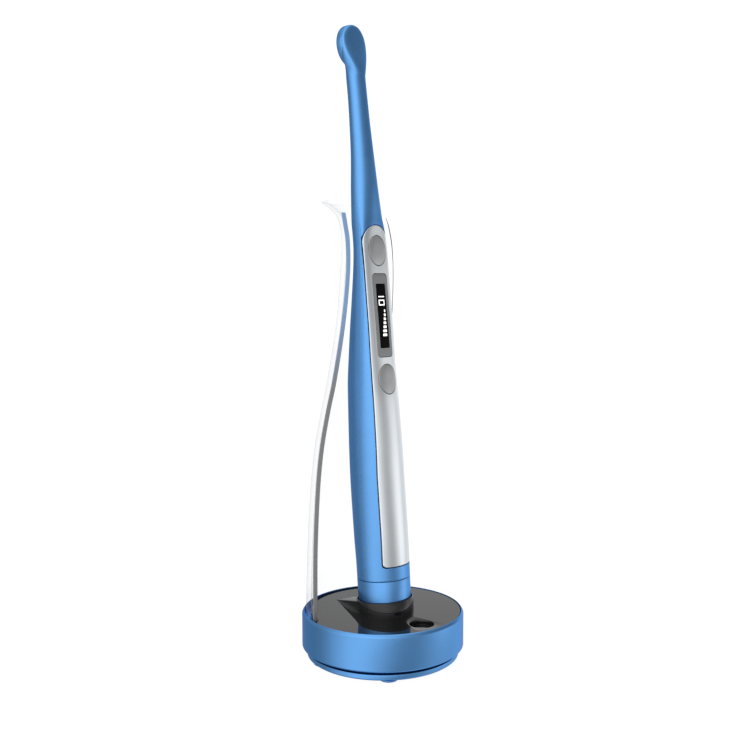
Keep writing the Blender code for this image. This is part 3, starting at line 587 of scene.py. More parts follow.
# ================================================================ clear shield
def shield_point(share, z, depth):
    """A point of the shield from -1 to 1 across its arc, at a depth under its outer face."""
    half, edge, bulge = smooth_row(SHIELD_ROWS, z)
    radius = (half * half + bulge * bulge) / (2 * bulge)
    centre = edge + bulge - radius
    angle = share * 2 * atan2(bulge, half)
    radius -= depth
    return Vector((radius * sin(angle), centre + radius * cos(angle), PLATE_TOP + z))


def shield_half_thickness(inset):
    """The sheet thins over the last quarter millimetre before its rim."""
    full = SHIELD_T / 2
    steps = [(0.0, full - 0.25), (0.08, full - 0.1), (0.25, full)]  # inset, half thickness
    for (a, thick_a), (b, thick_b) in zip(steps, steps[1:]):
        if inset <= b:
            return thick_a + (thick_b - thick_a) * max(inset - a, 0) / (b - a)
    return full


def make_shield():
    """The clear sheet. Its second material slot is for the frosted side edges, whose colour carries
    painted light.
    """
    columns, count = int(72 * FINE), int(110 * FINE)
    low, high = SHIELD_ROWS[0][0], SHIELD_ROWS[-1][0]
    heights = [low + (high - low) * (1 - (1 - k / count) ** 1.25) for k in range(count + 1)]
    shares = [-1 + 2 * i / (columns - 2) for i in range(columns - 1)]
    shares = shares[:1] + [-0.988] + shares[1:-1] + [0.988] + shares[-1:]
    bm = bmesh.new()
    outer, inner = [], []
    for z in heights:
        half = smooth_row(SHIELD_ROWS, z)[0]
        outer_row, inner_row = [], []
        for share in shares:
            inset = min((1 - abs(share)) * half * 1.15, z - low, high - z)
            thick = shield_half_thickness(inset)
            outer_row.append(bm.verts.new(shield_point(share, z, SHIELD_T / 2 - thick)))
            inner_row.append(bm.verts.new(shield_point(share, z, SHIELD_T / 2 + thick)))
        outer.append(outer_row)
        inner.append(inner_row)
    for grid in (outer, inner):
        for j, (a, b) in enumerate(zip(grid, grid[1:])):
            for i in range(columns):
                face = bm.faces.new((a[i], a[i + 1], b[i + 1], b[i]))
                if i in (0, columns - 1) and heights[j] < PAINTED_EDGE_TOP:
                    face.material_index = 1
    for i in range(columns):
        bm.faces.new((outer[0][i], inner[0][i], inner[0][i + 1], outer[0][i + 1]))
        bm.faces.new((outer[-1][i], outer[-1][i + 1], inner[-1][i + 1], inner[-1][i]))
    for j in range(count):
        k = j + 1
        sides = (bm.faces.new((outer[j][0], outer[k][0], inner[k][0], inner[j][0])),
                 bm.faces.new((outer[j][-1], inner[j][-1], inner[k][-1], outer[k][-1])))
        for face in sides:
            face.material_index = 1 if heights[j] < PAINTED_EDGE_TOP else 0
    shield = emit("shield_sheet", bm, STAND, 40)
    piece(shield, "clear_shield", "clear_shield")
    return shield


# ================================================================ handpiece
def panel_half(z):
    """Half width of the front panel: tapered, rounded below and arched above."""
    half = PANEL_HALF_LOW + (PANEL_HALF_TOP - PANEL_HALF_LOW) * clamp(
        (z - TAPER_START) / TAPER_LENGTH)
    if z > PANEL_ARCH:
        return sqrt(max(PANEL_HALF_TOP**2 - (z - PANEL_ARCH) ** 2, 0))
    if z < PANEL_LOW + PANEL_CORNER:
        below = PANEL_LOW + PANEL_CORNER - z
        return half - PANEL_CORNER + sqrt(max(PANEL_CORNER**2 - below**2, 0))
    return half


def panel_inset(x, z, half):
    """Distance from a point of the panel to its outline."""
    if z > PANEL_ARCH:
        return PANEL_HALF_TOP - hypot(x, z - PANEL_ARCH)
    if z < PANEL_LOW + PANEL_CORNER and abs(x) > half - PANEL_CORNER:
        return PANEL_CORNER - hypot(abs(x) - (PANEL_HALF_LOW - PANEL_CORNER),
                                    PANEL_LOW + PANEL_CORNER - z)
    return min(half - abs(x), z - PANEL_LOW)


def panel_mesh(name, grow, outer_depth, inner_depth, columns, edge=0.0):
    """A strip of the front skin between two depths, with a rounded outer rim."""
    corner_end = PANEL_LOW + PANEL_CORNER
    rows = [PANEL_LOW + PANEL_CORNER * (1 - cos(radians(90 * k / 10))) for k in range(11)]
    count, start = int(104 * FINE), PANEL_LOW + 2.0
    rows += [start + (PANEL_ARCH - start) * k / count for k in range(count)]
    rows += [PANEL_ARCH + PANEL_HALF_TOP * sin(radians(a)) for a in
             [5 * k for k in range(14)] + [69, 72, 75, 77.5, 80, 82, 84, 86]]
    shares = [-1 + 2 * i / columns for i in range(columns + 1)]
    shares += [v * sign for v in (0.955, 0.975, 0.99, 0.997) for sign in (-1, 1)]
    shares = sorted(set(shares))
    bm = bmesh.new()
    grids = []
    for depth in (outer_depth, inner_depth):
        grid = []
        for z in rows:
            grown_z = z
            if z > PANEL_TOP - 6:
                grown_z = z + grow
            elif z < corner_end:
                grown_z = z - grow
            half = min(panel_half(z) + grow, smooth_row(BODY_ROWS, grown_z)[0] - 0.22)
            row = []
            for share in shares:
                x = half * share
                drop = 0.0
                if edge and depth == outer_depth:
                    inset = min(max(panel_inset(x, z, half), 0.0), edge)
                    drop = edge - sqrt(max(edge * edge - (edge - inset) ** 2, 0.0))
                row.append(bm.verts.new(skin_point(x, grown_z, depth + drop)))
            grid.append(row)
        grids.append(grid)
    for grid in grids:
        for a, b in zip(grid, grid[1:]):
            for i in range(len(shares) - 1):
                bm.faces.new((a[i], a[i + 1], b[i + 1], b[i]))
    outer, inner = grids
    for i in range(len(shares) - 1):
        bm.faces.new((outer[0][i], inner[0][i], inner[0][i + 1], outer[0][i + 1]))
        bm.faces.new((outer[-1][i], outer[-1][i + 1], inner[-1][i + 1], inner[-1][i]))
    for j in range(len(rows) - 1):
        k = j + 1
        bm.faces.new((outer[j][0], outer[k][0], inner[k][0], inner[j][0]))
        bm.faces.new((outer[j][-1], inner[j][-1], inner[k][-1], outer[k][-1]))
    return emit(name, bm, HAND, 40)


def make_shell():
    """Body, neck and head in one hollow shell, open at the front for the panel."""
    low = SEAM + SEAM_HALF_GAP
    rings = [body_ring(low + rise, SHELL_SEGMENTS, depth)
             for rise, depth in ((0.0, 0.12), (0.04, 0.04), (0.14, 0.0))]
    start, count = low + 0.6, int(120 * FINE)
    rings += [body_ring(start + (NECK_TOP - start) * k / count, SHELL_SEGMENTS)
              for k in range(count)]
    count = int(46 * FINE)
    rings += [head_ring(NECK_TOP + (HEAD_TOP - NECK_TOP) * (1 - (1 - k / count) ** 1.55),
                        SHELL_SEGMENTS) for k in range(count + 1)]
    shell = loft("shell_body", rings, HAND, 40)
    # lamp barrel: y, share of the full ellipse
    barrel_rows = [(0.3, 0.955), (0.5, 0.98), (0.75, 0.995), (1.0, 1.0), (LENS_FACE - 0.45, 1.0),
                   (LENS_FACE - 0.25, 0.995), (LENS_FACE - 0.1, 0.985), (LENS_FACE, 0.965)]
    count = int(120 * FINE) + 1
    barrel = loft("tool", [
        [Vector((x, y, z)) for x, z in
         ellipse(LAMP_Z, LAMP_HALF_W * share, LAMP_HALF_H * share, count)]
        for y, share in barrel_rows], HAND)
    cavity = loft("tool", [body_ring(12 + 148.5 * k / 40, 64, WALL + 0.02) for k in range(41)],
                  HAND)
    opening = panel_mesh("tool", 0.28, -1.2, WALL + 0.35, 16)
    pocket = prism_y("tool", ellipse(LAMP_Z, 6.5, 6.9, 90), -0.15, 6.0, HAND)
    wire_channel = rod("tool", (0, -1.7, 158.0), (0, 0.75, 238.0), 1.65, HAND)
    carve(shell, [cavity, opening, pocket, wire_channel], joins=[barrel], angle=33)
    piece(shell, "handpiece", "handpiece_shell")


def front_cutter(outline):
    return prism_y("tool", outline, CUT_FRONT, CUT_BACK, HAND)


def make_panel():
    """Front panel with holes for the two keys and the display."""
    panel = panel_mesh("panel_plate", 0.0, 0.0, PANEL_T, int(30 * FINE), edge=0.3)
    holes = [front_cutter(ellipse(z, KEY_HALF_W + 0.25, KEY_HALF_H + 0.25, 97))
             for z in (POWER_KEY_Z, MODE_KEY_Z)]
    holes.append(front_cutter(centred(BEZEL_HALF, BEZEL_LOW, BEZEL_TOP, BEZEL_CORNER, grow=0.2)))
    carve(panel, holes, angle=33)
    piece(panel, "handpiece", "front_panel")


def make_display():
    """Bezel frame and the window inside it."""
    outline = centred(BEZEL_HALF, BEZEL_LOW, BEZEL_TOP, BEZEL_CORNER)
    bezel = inlay("bezel_frame", divided(outline, 1.2), (BEZEL_LOW + BEZEL_TOP) / 2,
                  rise=0.12, depth=1.3, rings=14, edge=0.3)
    carve(bezel, [front_cutter(centred(WINDOW_HALF, WINDOW_LOW, WINDOW_TOP, WINDOW_CORNER,
                                       grow=0.1, steps=5))], angle=33)
    piece(bezel, "handpiece", "display_bezel")
    outline = centred(WINDOW_HALF, WINDOW_LOW, WINDOW_TOP, WINDOW_CORNER, steps=4)
    window = inlay("window_glass", divided(outline, 1.0), (WINDOW_LOW + WINDOW_TOP) / 2,
                   rise=-0.05, depth=0.8, rings=12, edge=0.08)
    piece(window, "handpiece", "display_window")


def make_keys():
    for name, node, z in (("power_key", "power_button", POWER_KEY_Z),
                          ("mode_key", "mode_button", MODE_KEY_Z)):
        key = inlay(name, ellipse(z, KEY_HALF_W, KEY_HALF_H, 80), z, rise=0.1, depth=1.2,
                    rings=14, edge=0.22, crown=0.4, stem=(1.3, -5.35))
        piece(key, node, node)


def make_tail():
    """Tail cap with a grooved spigot above the seam, and the seal ring in the groove."""
    low, top = TAIL_LOW + 0.05, SEAM - SEAM_HALF_GAP
    cap = lathe("tail_cup", soften([
        (9.0, low), (CAP_R - 0.5, low), (CAP_R, TAIL_LOW + 0.6), (11.4, 4), (11.48, top),
        (CAP_SPIGOT_R, top), (CAP_SPIGOT_R, 15.9), (9.25, 15.9), (9.25, 17.1),
        (CAP_SPIGOT_R, 17.1), (CAP_SPIGOT_R, 18.6), (CAP_INNER_R, 18.6), (CAP_INNER_R, -5.0),
        (9.0, -5.0)], 0.2), HAND, int(128 * FINE), closed=True)
    piece(cap, "handpiece", "tail_cap")
    seal = lathe("seal_ring", [(SEAL_R + 0.38 * cos(2 * pi * k / 14),
                                SEAL_Z + 0.38 * sin(2 * pi * k / 14)) for k in range(14)],
                 HAND, 72, closed=True)
    piece(seal, "handpiece", "tail_seal")


def make_lamp():
    """Lens, the hood around it and the reflector under it."""
    dome = [(4.9 * cos(radians(a)), 2.92 + 0.5 * sin(radians(a))) for a in range(5, 90, 5)]
    lens = lathe("lens_glass", [(0, 2.5), (4.9, 2.5), (4.95, 2.55), (4.95, 2.9)] + dome
                 + [(0, 3.42)], LENS, 72)
    piece(lens, "handpiece", "lens")
    hood = lathe("lens_hood", soften([
        (5.15, 1.2), (6.2, 1.2), (6.2, LENS_FACE + 0.05), (5.9, LENS_FACE + 0.25),
        (5.3, LENS_FACE + 0.05), (5.15, 3.1)], 0.12), LENS, 80, closed=True)
    piece(hood, "handpiece", "lens_ring")
    bowl = [(1.95 + 2.75 * t, 1.3 + 1.08 * t ** 1.7) for t in [1 - k / 12 for k in range(13)]]
    cup = lathe("reflector_cup", [(1.9, 1.2), (4.9, 1.2), (4.9, 2.4), (4.75, 2.4)] + bowl,
                LENS, 72, closed=True)
    piece(cup, "handpiece", "reflector")


# ---- marks on the display: two seven-segment digits and a row of bars
MARKS_X, DIGIT_TALL, PEN, PEN_GAP = 1.9, 3.8, 0.62, 0.07
BARS, BAR_START_Z, BAR_PITCH, BAR_THICK = 7, 129.6, 1.7, 1.05


def mark(bm, x_high, z_high, x_low, z_low):
    """One lit block on the front skin."""
    outline = rounded(x_low, z_low, x_high, z_high, 0.06, 2)
    top, bottom = [[bm.verts.new((x, front_y(x, z) + depth, z)) for x, z in outline]
                   for depth in (0.02, 0.12)]
    bm.faces.new(top)
    bm.faces.new(list(reversed(bottom)))
    for i in range(len(top)):
        j = (i + 1) % len(top)
        bm.faces.new((top[i], bottom[i], bottom[j], top[j]))


def digit(bm, lit, start_z, wide):
    """A digit read with the handpiece on its side: its width runs down the handpiece."""
    tall, middle = DIGIT_TALL, DIGIT_TALL / 2
    # left, low, right and top of each segment
    segments = {"a": (0, tall - PEN, wide, tall), "b": (wide - PEN, middle, wide, tall),
                "c": (wide - PEN, 0, wide, middle), "d": (0, 0, wide, PEN),
                "e": (0, 0, PEN, middle), "f": (0, middle, PEN, tall)}
    for key in lit:
        left, low, right, top = segments[key]
        mark(bm, MARKS_X - (low + PEN_GAP), start_z - (left + PEN_GAP),
             MARKS_X - (top - PEN_GAP), start_z - (right - PEN_GAP))


def make_marks():
    bm = bmesh.new()
    digit(bm, "bc", 137.2, 2.4)
    digit(bm, "abcdef", 133.9, 2.6)
    for k in range(BARS):
        z = BAR_START_Z - BAR_PITCH * k
        mark(bm, MARKS_X, z, MARKS_X - (0.7 + 0.3 * k), z - BAR_THICK)
    marks = emit("display_marks", bm, HAND)
    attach(marks, "handpiece")


make_ring()
make_plate()
make_cover_and_screws()
make_feet()
make_jack()
shield = make_shield()
make_shell()
make_panel()
make_display()
make_keys()
make_tail()
make_lamp()
make_marks()


# ================================================================ materials
class Nodes:
    """Short ways to add nodes to one node tree."""

    def __init__(self, tree):
        self.tree = tree

    def feed(self, socket, value):
        """Links a socket or sets its value. Colours are given without alpha."""
        if isinstance(value, bpy.types.NodeSocket):
            self.tree.links.new(value, socket)
        elif socket.type == "RGBA":
            socket.default_value = (*value, 1.0)
        else:
            socket.default_value = value

    def feed_named(self, node, inputs):
        """Feeds inputs by name, with underscores for spaces."""
        for key, value in inputs.items():
            self.feed(node.inputs[key.replace("_", " ")], value)

    def add(self, kind, **inputs):
        node = self.tree.nodes.new("ShaderNode" + kind)
        self.feed_named(node, inputs)
        return node

    def math(self, operation, a, b=0.0):
        node = self.add("Math")
        node.operation = operation
        for socket, value in zip(node.inputs, (a, b, 0.0)):
            self.feed(socket, value)
        return node.outputs[0]

    def dot(self, a, b):
        node = self.add("VectorMath")
        node.operation = "DOT_PRODUCT"
        self.feed(node.inputs[0], a)
        self.feed(node.inputs[1], b)
        return node.outputs["Value"]

    def remap(self, value, low, high, source=(0.0, 1.0), smooth=False):
        node = self.add("MapRange", Value=value, From_Min=source[0], From_Max=source[1],
                        To_Min=low, To_Max=high)
        if smooth:
            node.interpolation_type = "SMOOTHSTEP"
        return node.outputs["Result"]

    def mix_shader(self, factor, a, b):
        node = self.add("MixShader")
        for socket, value in zip(node.inputs, (factor, a, b)):
            self.feed(socket, value)
        return node.outputs[0]


class Surface(Nodes):
    """A material with one Principled shader. Its textures use object coordinates, in metres."""

    def __init__(self, name, **values):
        self.material = bpy.data.materials.new(name)
        self.material.use_nodes = True
        super().__init__(self.material.node_tree)
        self.principled = self.tree.nodes["Principled BSDF"]
        self.coord = self.add("TexCoord").outputs["Object"]
        self.set(**values)

    def set(self, **values):
        self.feed_named(self.principled, values)

    def finish(self, shader):
        """Puts another shader on the output."""
        self.feed(self.tree.nodes["Material Output"].inputs["Surface"], shader)

    def noise(self, scale, detail=2.0, rough=0.5, coord=None):
        return self.add("TexNoise", Vector=coord or self.coord, Scale=scale, Detail=detail,
                        Roughness=rough).outputs["Fac"]

    def stretched(self, coord, scale):
        return self.add("Mapping", Vector=coord, Scale=scale).outputs[0]

    def mix(self, factor, a, b):
        node = self.add("Mix")
        node.data_type = "RGBA"
        # 6 and 7 are the colour inputs
        for index, value in ((0, factor), (6, a), (7, b)):
            self.feed(node.inputs[index], value)
        return node.outputs[2]

    def bump(self, height, strength, distance, normal=None):
        node = self.add("Bump", Strength=strength, Distance=distance, Height=height)
        if normal is not None:
            self.feed(node.inputs["Normal"], normal)
        return node.outputs["Normal"]

    def axis(self, where, row):
        """One coordinate, in millimetres, of a frame."""
        inverse = where.inverted()
        return self.math("ADD", self.dot(self.coord, inverse[row].xyz), inverse[row][3])

    def local(self, where):
        """All three coordinates, in millimetres, of a frame."""
        x, y, z = [self.axis(where, row) for row in range(3)]
        return self.add("CombineXYZ", X=x, Y=y, Z=z).outputs[0]

    def bevelled(self, radius):
        node = self.add("Bevel", Radius=radius)
        node.samples = 4
        return node.outputs[0]

    def painted_highlight_mask(self, normal):
        """Mask for the painted edge highlight: 1 where the bevelled normal shows a rounded edge, 0 on
        open surfaces.
        """
        true_normal = self.add("NewGeometry").outputs["Normal"]
        return self.remap(self.dot(normal, true_normal), 1.0, 0.0, (0.72, 0.995))


def scaled(color, factor, lift=0.0):
    return tuple(min(c * factor + lift, 1.0) for c in color)


SHADED_GAP_LOW, SHADED_GAP_TOP = 3.93, 5.5  # the gap between the bottom cover and the ring, darkened in the colour as painted shade
EDGE_BEVEL = 0.00012  # metres
MID = (0.3, 0.7)  # the part of a noise's range that carries its contrast
SMUDGES = (0.35, 0.75)  # the same, shifted so that clean surface prevails


def anodised(name, base, rough, where, turned, tint=(0.5, 0.6, 0.8), cloudy=0.6, groove=False):
    """Bead-blasted, dyed aluminium: fine grain, cloudy dye, painted highlight on rounded edges,
    painted shade in the stand's gap, and tool lines.
    """
    m = Surface(name, Metallic=1.0, Specular_Tint=tint)
    normal = m.bevelled(EDGE_BEVEL)
    cloud = m.noise(140.0, 3.0)
    grain = m.noise(9000.0, 2.0, 0.6)
    dye = m.mix(m.remap(cloud, 0.0, 1.0, MID), scaled(base, 1 - 0.035 * cloudy),
                scaled(base, 1 + 0.035 * cloudy))
    # painted highlight: rounded edges are lightened and greyed in the colour
    painted_highlight_colour = scaled(base, 0.72, 0.28 * 0.75)
    skin = m.mix(m.math("MULTIPLY", m.painted_highlight_mask(normal), 0.35), dye, painted_highlight_colour)
    if groove:
        # painted shade: the colour is darkened over the height of the gap between cover and ring
        z = m.add("SeparateXYZ", Vector=m.coord).outputs["Z"]
        inside = m.math("MULTIPLY", m.math("GREATER_THAN", z, SHADED_GAP_LOW * MM),
                        m.math("LESS_THAN", z, SHADED_GAP_TOP * MM))
        skin = m.mix(inside, skin, (0.13, 0.30, 0.44))
    clouded = m.remap(cloud, rough - 0.02 * cloudy, rough + 0.03 * cloudy, MID)
    fine = m.bump(grain, 0.12, 0.00001, normal)
    lines = m.noise(1.6, 4.0, 0.75, m.stretched(m.local(where), (0.02, 0.02, 2.6)))
    m.set(Base_Color=skin, Roughness=m.math("ADD", clouded, m.remap(grain, -0.03, 0.03)),
          Normal=m.bump(lines, turned, 0.00003, fine))
    return m.material


def moulded(name, base, rough, grain=2600.0, depth=0.2, spec=0.5, coat=0.0, metal=0.0):
    """Moulded part with a fine grain and a painted highlight that lightens its edges."""
    m = Surface(name, Metallic=metal, Specular_IOR_Level=spec, Coat_Weight=coat,
                Coat_Roughness=0.08)
    normal = m.bevelled(EDGE_BEVEL)
    tone = m.mix(m.noise(230.0, 3.0), scaled(base, 0.93), scaled(base, 1.07))
    height = m.noise(grain, 3.0, 0.6)
    # painted highlight: edges are lightened in the colour
    m.set(Base_Color=m.mix(m.math("MULTIPLY", m.painted_highlight_mask(normal), 0.25), tone,
                           scaled(base, 1.3, 0.03)),
          Roughness=m.remap(height, rough - 0.05, rough + 0.05, MID),
          Normal=m.bump(height, depth, 0.00002, normal))
    return m.material


def gloss_black():
    """Polished black with smudges and specks of dust."""
    m = Surface("black_glass_plate", Specular_IOR_Level=0.5, IOR=1.52)
    smudge = m.remap(m.noise(55.0, 5.0, 0.62), 0.025, 0.085, SMUDGES)
    dust = m.math("GREATER_THAN", m.noise(2600.0, 1.0), 0.80)
    m.set(Base_Color=m.mix(dust, (0.008, 0.008, 0.0085), (0.03, 0.03, 0.03)),
          Roughness=m.math("ADD", smudge, m.math("MULTIPLY", dust, 0.2)),
          Normal=m.bevelled(0.0001))
    return m.material


def display_rows(m, threshold):
    """Eight fine rows to each millimetre along the handpiece."""
    place = m.math("FRACT", m.math("MULTIPLY", m.axis(HAND, 2), 8.0))
    return m.math("GREATER_THAN", place, threshold)


def display():
    m = Surface("display_cover_black", Specular_IOR_Level=0.03)
    m.set(Roughness=m.remap(m.noise(420.0, 3.0), 0.06, 0.16, MID),
          Base_Color=m.mix(display_rows(m, 0.5), (0.0012, 0.0012, 0.0016), (0.002, 0.002, 0.0026)))
    return m.material


def lit():
    m = Surface("display_lit", Base_Color=(0.7, 0.7, 0.7), Roughness=0.4,
                Emission_Color=(0.95, 0.98, 1.0))
    m.set(Emission_Strength=m.remap(display_rows(m, 0.25), 0.55, 0.95))
    return m.material


def clear(name, base, rough, ior):
    """Clear moulding. Lamps shine through it, so it casts only a light shadow."""
    m = Surface(name, Base_Color=base, Transmission_Weight=1.0, IOR=ior)
    m.set(Roughness=m.remap(m.noise(60.0, 4.0, 0.6), rough, rough + 0.03, SMUDGES))
    through = m.add("BsdfTransparent", Color=(0.93, 0.94, 0.95))
    m.finish(m.mix_shader(m.add("LightPath").outputs["Is Shadow Ray"], m.principled.outputs[0],
                          through.outputs[0]))
    return m.material


def thin_clear():
    """Polished clear sheet: see-through without bending, and mirroring the studio at a glance."""
    m = Surface("clear_acrylic")
    m.tree.nodes.remove(m.principled)
    through = m.add("BsdfTransparent", Color=(0.993, 0.996, 0.999))
    shine = m.add("BsdfGlossy", Color=(0.95, 0.97, 1.0),
                  Roughness=m.remap(m.noise(60.0, 4.0, 0.6), 0.02, 0.07, SMUDGES),
                  Normal=m.bump(m.noise(45.0, 2.0), 0.04, 0.0002))
    facing = m.add("LayerWeight", Blend=0.5).outputs["Facing"]
    glance = m.math("MULTIPLY", m.math("POWER", facing, 5.0), 0.42)
    m.finish(m.mix_shader(m.math("ADD", glance, 0.02), through.outputs[0], shine.outputs[0]))
    return m.material


def edge_painted_light():
    """The sheet's half-frosted edge with painted light: a tone of light through the edge that turns
    bluer with height on the -x side, and painted shade on the +x side.
    """
    m = Surface("acrylic_edge", IOR=1.49, Specular_IOR_Level=0.4)
    place = m.add("SeparateXYZ", Vector=m.coord).outputs
    # painted light: grey to blue with height on the -x edge, painted dark on the +x edge
    tone = m.remap(place["Z"], 0.0, 1.0, (0.118, 0.150))
    mill = m.noise(1.0, 3.0, 0.6, m.stretched(m.coord, (300, 300, 2200)))
    near_side_painted_light = m.mix(tone, (0.17, 0.175, 0.18), (0.17, 0.27, 0.45))
    m.set(Base_Color=m.mix(m.math("GREATER_THAN", place["X"], 0.0), near_side_painted_light, (0.07, 0.072, 0.078)),
          Roughness=m.remap(mill, 0.2, 0.42, MID), Normal=m.bump(mill, 0.2, 0.00003))
    return m.material


def brushed(name, base, rough, scale=(60, 60, 2600)):
    """Bare metal with fine lines across the axis of the largest scale."""
    m = Surface(name, Metallic=1.0)
    lines = m.noise(1.0, 3.0, 0.6, m.stretched(m.coord, scale))
    m.set(Base_Color=m.mix(m.noise(420.0, 3.0), scaled(base, 0.86), scaled(base, 1.08)),
          Roughness=m.remap(lines, rough - 0.06, rough + 0.09, MID),
          Normal=m.bump(lines, 0.15, 0.00002, m.bevelled(0.00008)))
    return m.material


def board():
    """Green circuit board with gilt pads."""
    m = Surface("circuit_board", Roughness=0.42, Specular_IOR_Level=0.5, Coat_Weight=0.35,
                Coat_Roughness=0.2)
    brick = m.add("TexBrick", Vector=m.coord, Scale=420.0, Mortar_Size=0.03,
                  Color1=(0.012, 0.13, 0.05), Color2=(0.016, 0.16, 0.065),
                  Mortar=(0.05, 0.27, 0.12))
    dots = m.add("TexVoronoi", Vector=m.coord, Scale=700.0).outputs["Distance"]
    pad = m.math("LESS_THAN", dots, 0.16)
    m.set(Base_Color=m.mix(pad, brick.outputs["Color"], (0.75, 0.62, 0.35)),
          Metallic=m.math("MULTIPLY", pad, 0.9),
          Normal=m.bump(brick.outputs["Fac"], 0.3, 0.00003))
    return m.material


def wrap():
    """Blue battery wrap with a grey band around z = 82 of the handpiece."""
    m = Surface("battery_shrink_wrap", Specular_IOR_Level=0.5, Coat_Weight=0.3,
                Coat_Roughness=0.15)
    away = m.math("ABSOLUTE", m.math("SUBTRACT", m.axis(HAND, 2), 82.0))
    cloud = m.noise(350.0, 3.0)
    blue = m.mix(cloud, (0.035, 0.16, 0.3), (0.05, 0.2, 0.36))
    m.set(Base_Color=m.mix(m.math("GREATER_THAN", away, 3.0), (0.45, 0.47, 0.5), blue),
          Roughness=m.remap(cloud, 0.28, 0.42),
          Normal=m.bump(m.noise(700.0, 4.0), 0.25, 0.00005))
    return m.material


BLUE = (0.158, 0.425, 0.87)
MATERIALS = {
    "blue_body": anodised("blue_anodised_satin", BLUE, rough=0.27, where=HAND, turned=0.10),
    "blue_turned": anodised("blue_anodised_turned", BLUE, rough=0.28, where=HAND, turned=0.30),
    # groove=True paints shade into the gap between the bottom cover and the ring
    "blue_stand": anodised("blue_anodised_stand", BLUE, rough=0.29, where=STAND, turned=0.26,
                           groove=True),
    "silver": anodised("silver_anodised_blasted", (0.85, 0.89, 0.925), rough=0.25, where=HAND,
                       turned=0.12, tint=(0.92, 0.95, 0.97), cloudy=0.3),
    "grey_button": moulded("grey_key_satin", (0.43, 0.435, 0.44), rough=0.32, grain=5200.0,
                           depth=0.15, metal=0.8),
    "grey_bezel": moulded("grey_bezel_satin", (0.20, 0.205, 0.21), rough=0.4, grain=5200.0,
                          depth=0.12, metal=0.35),
    "black_plastic": moulded("black_moulded", (0.02, 0.02, 0.022), rough=0.45, depth=0.3),
    "rubber": moulded("rubber_matt", (0.028, 0.028, 0.028), rough=0.78, grain=1800.0,
                      depth=0.5, spec=0.3),
    "blue_foot": moulded("foot_moulded_blue", (0.085, 0.25, 0.56), rough=0.42, grain=1800.0,
                         depth=0.3, metal=0.5),
    "frame_plastic": moulded("sleeve_moulded", (0.60, 0.60, 0.57), rough=0.55, grain=1800.0,
                             depth=0.3),
    "phosphor": moulded("phosphor_gel", (0.85, 0.70, 0.12), rough=0.35, grain=4000.0, coat=0.6),
    "black_gloss": gloss_black(),
    "display_black": display(),
    "lit": lit(),
    "clear_plastic": thin_clear(),
    "optical_glass": clear("lens_optical", (0.94, 0.97, 1.0), rough=0.008, ior=1.5),
    "smoked_glass": clear("sensor_smoked", (0.05, 0.05, 0.055), rough=0.05, ior=1.5),
    "edge_painted_light": edge_painted_light(),
    "steel": brushed("steel_bright", (0.55, 0.55, 0.56), rough=0.3),
    "gold": brushed("gold_plated", (0.88, 0.62, 0.22), rough=0.22),
    "copper": brushed("copper_lapped", (0.78, 0.40, 0.25), rough=0.3, scale=(1600, 60, 60)),
    "mirror_coat": brushed("mirror_coat", (0.92, 0.93, 0.94), rough=0.1),
    "circuit_green": board(),
    "battery_wrap": wrap(),
    "red_wire": moulded("wire_red", (0.55, 0.03, 0.02), rough=0.45, grain=3000.0),
    "black_wire": moulded("wire_black", (0.02, 0.02, 0.02), rough=0.45, grain=3000.0),
}

# Which pieces made here, and which CAD nodes, wear each material
PIECE_LOOKS = {
    "blue_stand": "ring_body under_cover",
    "blue_body": "shell_body",
    "blue_turned": "tail_cup",
    "blue_foot": "foot_pad_1 foot_pad_2 foot_pad_3 foot_pad_4 foot_pad_5",
    "silver": "panel_plate",
    "grey_bezel": "bezel_frame",
    "grey_button": "power_key mode_key",
    "black_gloss": "plate_body",
    "black_plastic": "power_jack lens_hood",
    "rubber": "seal_ring",
    "display_black": "window_glass",
    "lit": "display_marks",
    "optical_glass": "lens_glass",
    "mirror_coat": "reflector_cup",
    "steel": "screw_1 screw_2 screw_3",
}
CAD_LOOKS = {
    "steel": "ballast_plate battery_spring",
    "circuit_green": "base_pcb main_pcb charge_board led_board",
    "smoked_glass": "sensor_window",
    "black_plastic": "light_sensor power_switch mode_switch buzzer tail_insulator",
    "gold": "pin_barrel_1 pin_barrel_2 contact_pin_1 contact_pin_2 contact_pad contact_ring",
    "display_black": "display_module",
    "battery_wrap": "battery_cell",
    "frame_plastic": "battery_sleeve",
    "copper": "heat_sink",
    "phosphor": "led_die",
    "black_wire": "led_wire_1",
    "red_wire": "led_wire_2",
}


def dress(ob, material):
    ob.data.materials.clear()
    ob.data.materials.append(material)


for looks, objects in ((PIECE_LOOKS, bpy.data.objects), (CAD_LOOKS, frame["nodes"])):
    for look, names in looks.items():
        for name in names.split():
            dress(objects[name], MATERIALS[look])
for look in ("clear_plastic", "edge_painted_light"):
    shield.data.materials.append(MATERIALS[look])

# ================================================================ camera
CAMERA_AZIMUTH, CAMERA_PITCH = radians(-59.0), radians(4.54)  # from -y, and downwards
CAMERA_DISTANCE, CAMERA_OVER_PLATE = 0.415, 0.1354  # metres
to_camera = Vector((sin(CAMERA_AZIMUTH), -cos(CAMERA_AZIMUTH), 0.0))
camera_right = Vector((cos(CAMERA_AZIMUTH), sin(CAMERA_AZIMUTH), 0.0))


def make_camera():
    data = bpy.data.cameras.new("camera")
    data.sensor_width = 36.0
    data.lens = 46.8
    data.shift_x, data.shift_y = -0.0104, -0.0016
    data.clip_start, data.clip_end = 0.01, 20.0
    camera = bpy.data.objects.new("camera", data)
    bpy.context.scene.collection.objects.link(camera)
    look = -to_camera * cos(CAMERA_PITCH) - Vector((0, 0, 1)) * sin(CAMERA_PITCH)
    turn = Matrix((camera_right, camera_right.cross(look), -look)).transposed()
    place = to_camera * CAMERA_DISTANCE + Vector((0, 0, PLATE_TOP * MM + CAMERA_OVER_PLATE))
    camera.matrix_world = Matrix.Translation(place) @ turn.to_4x4()
    bpy.context.scene.camera = camera


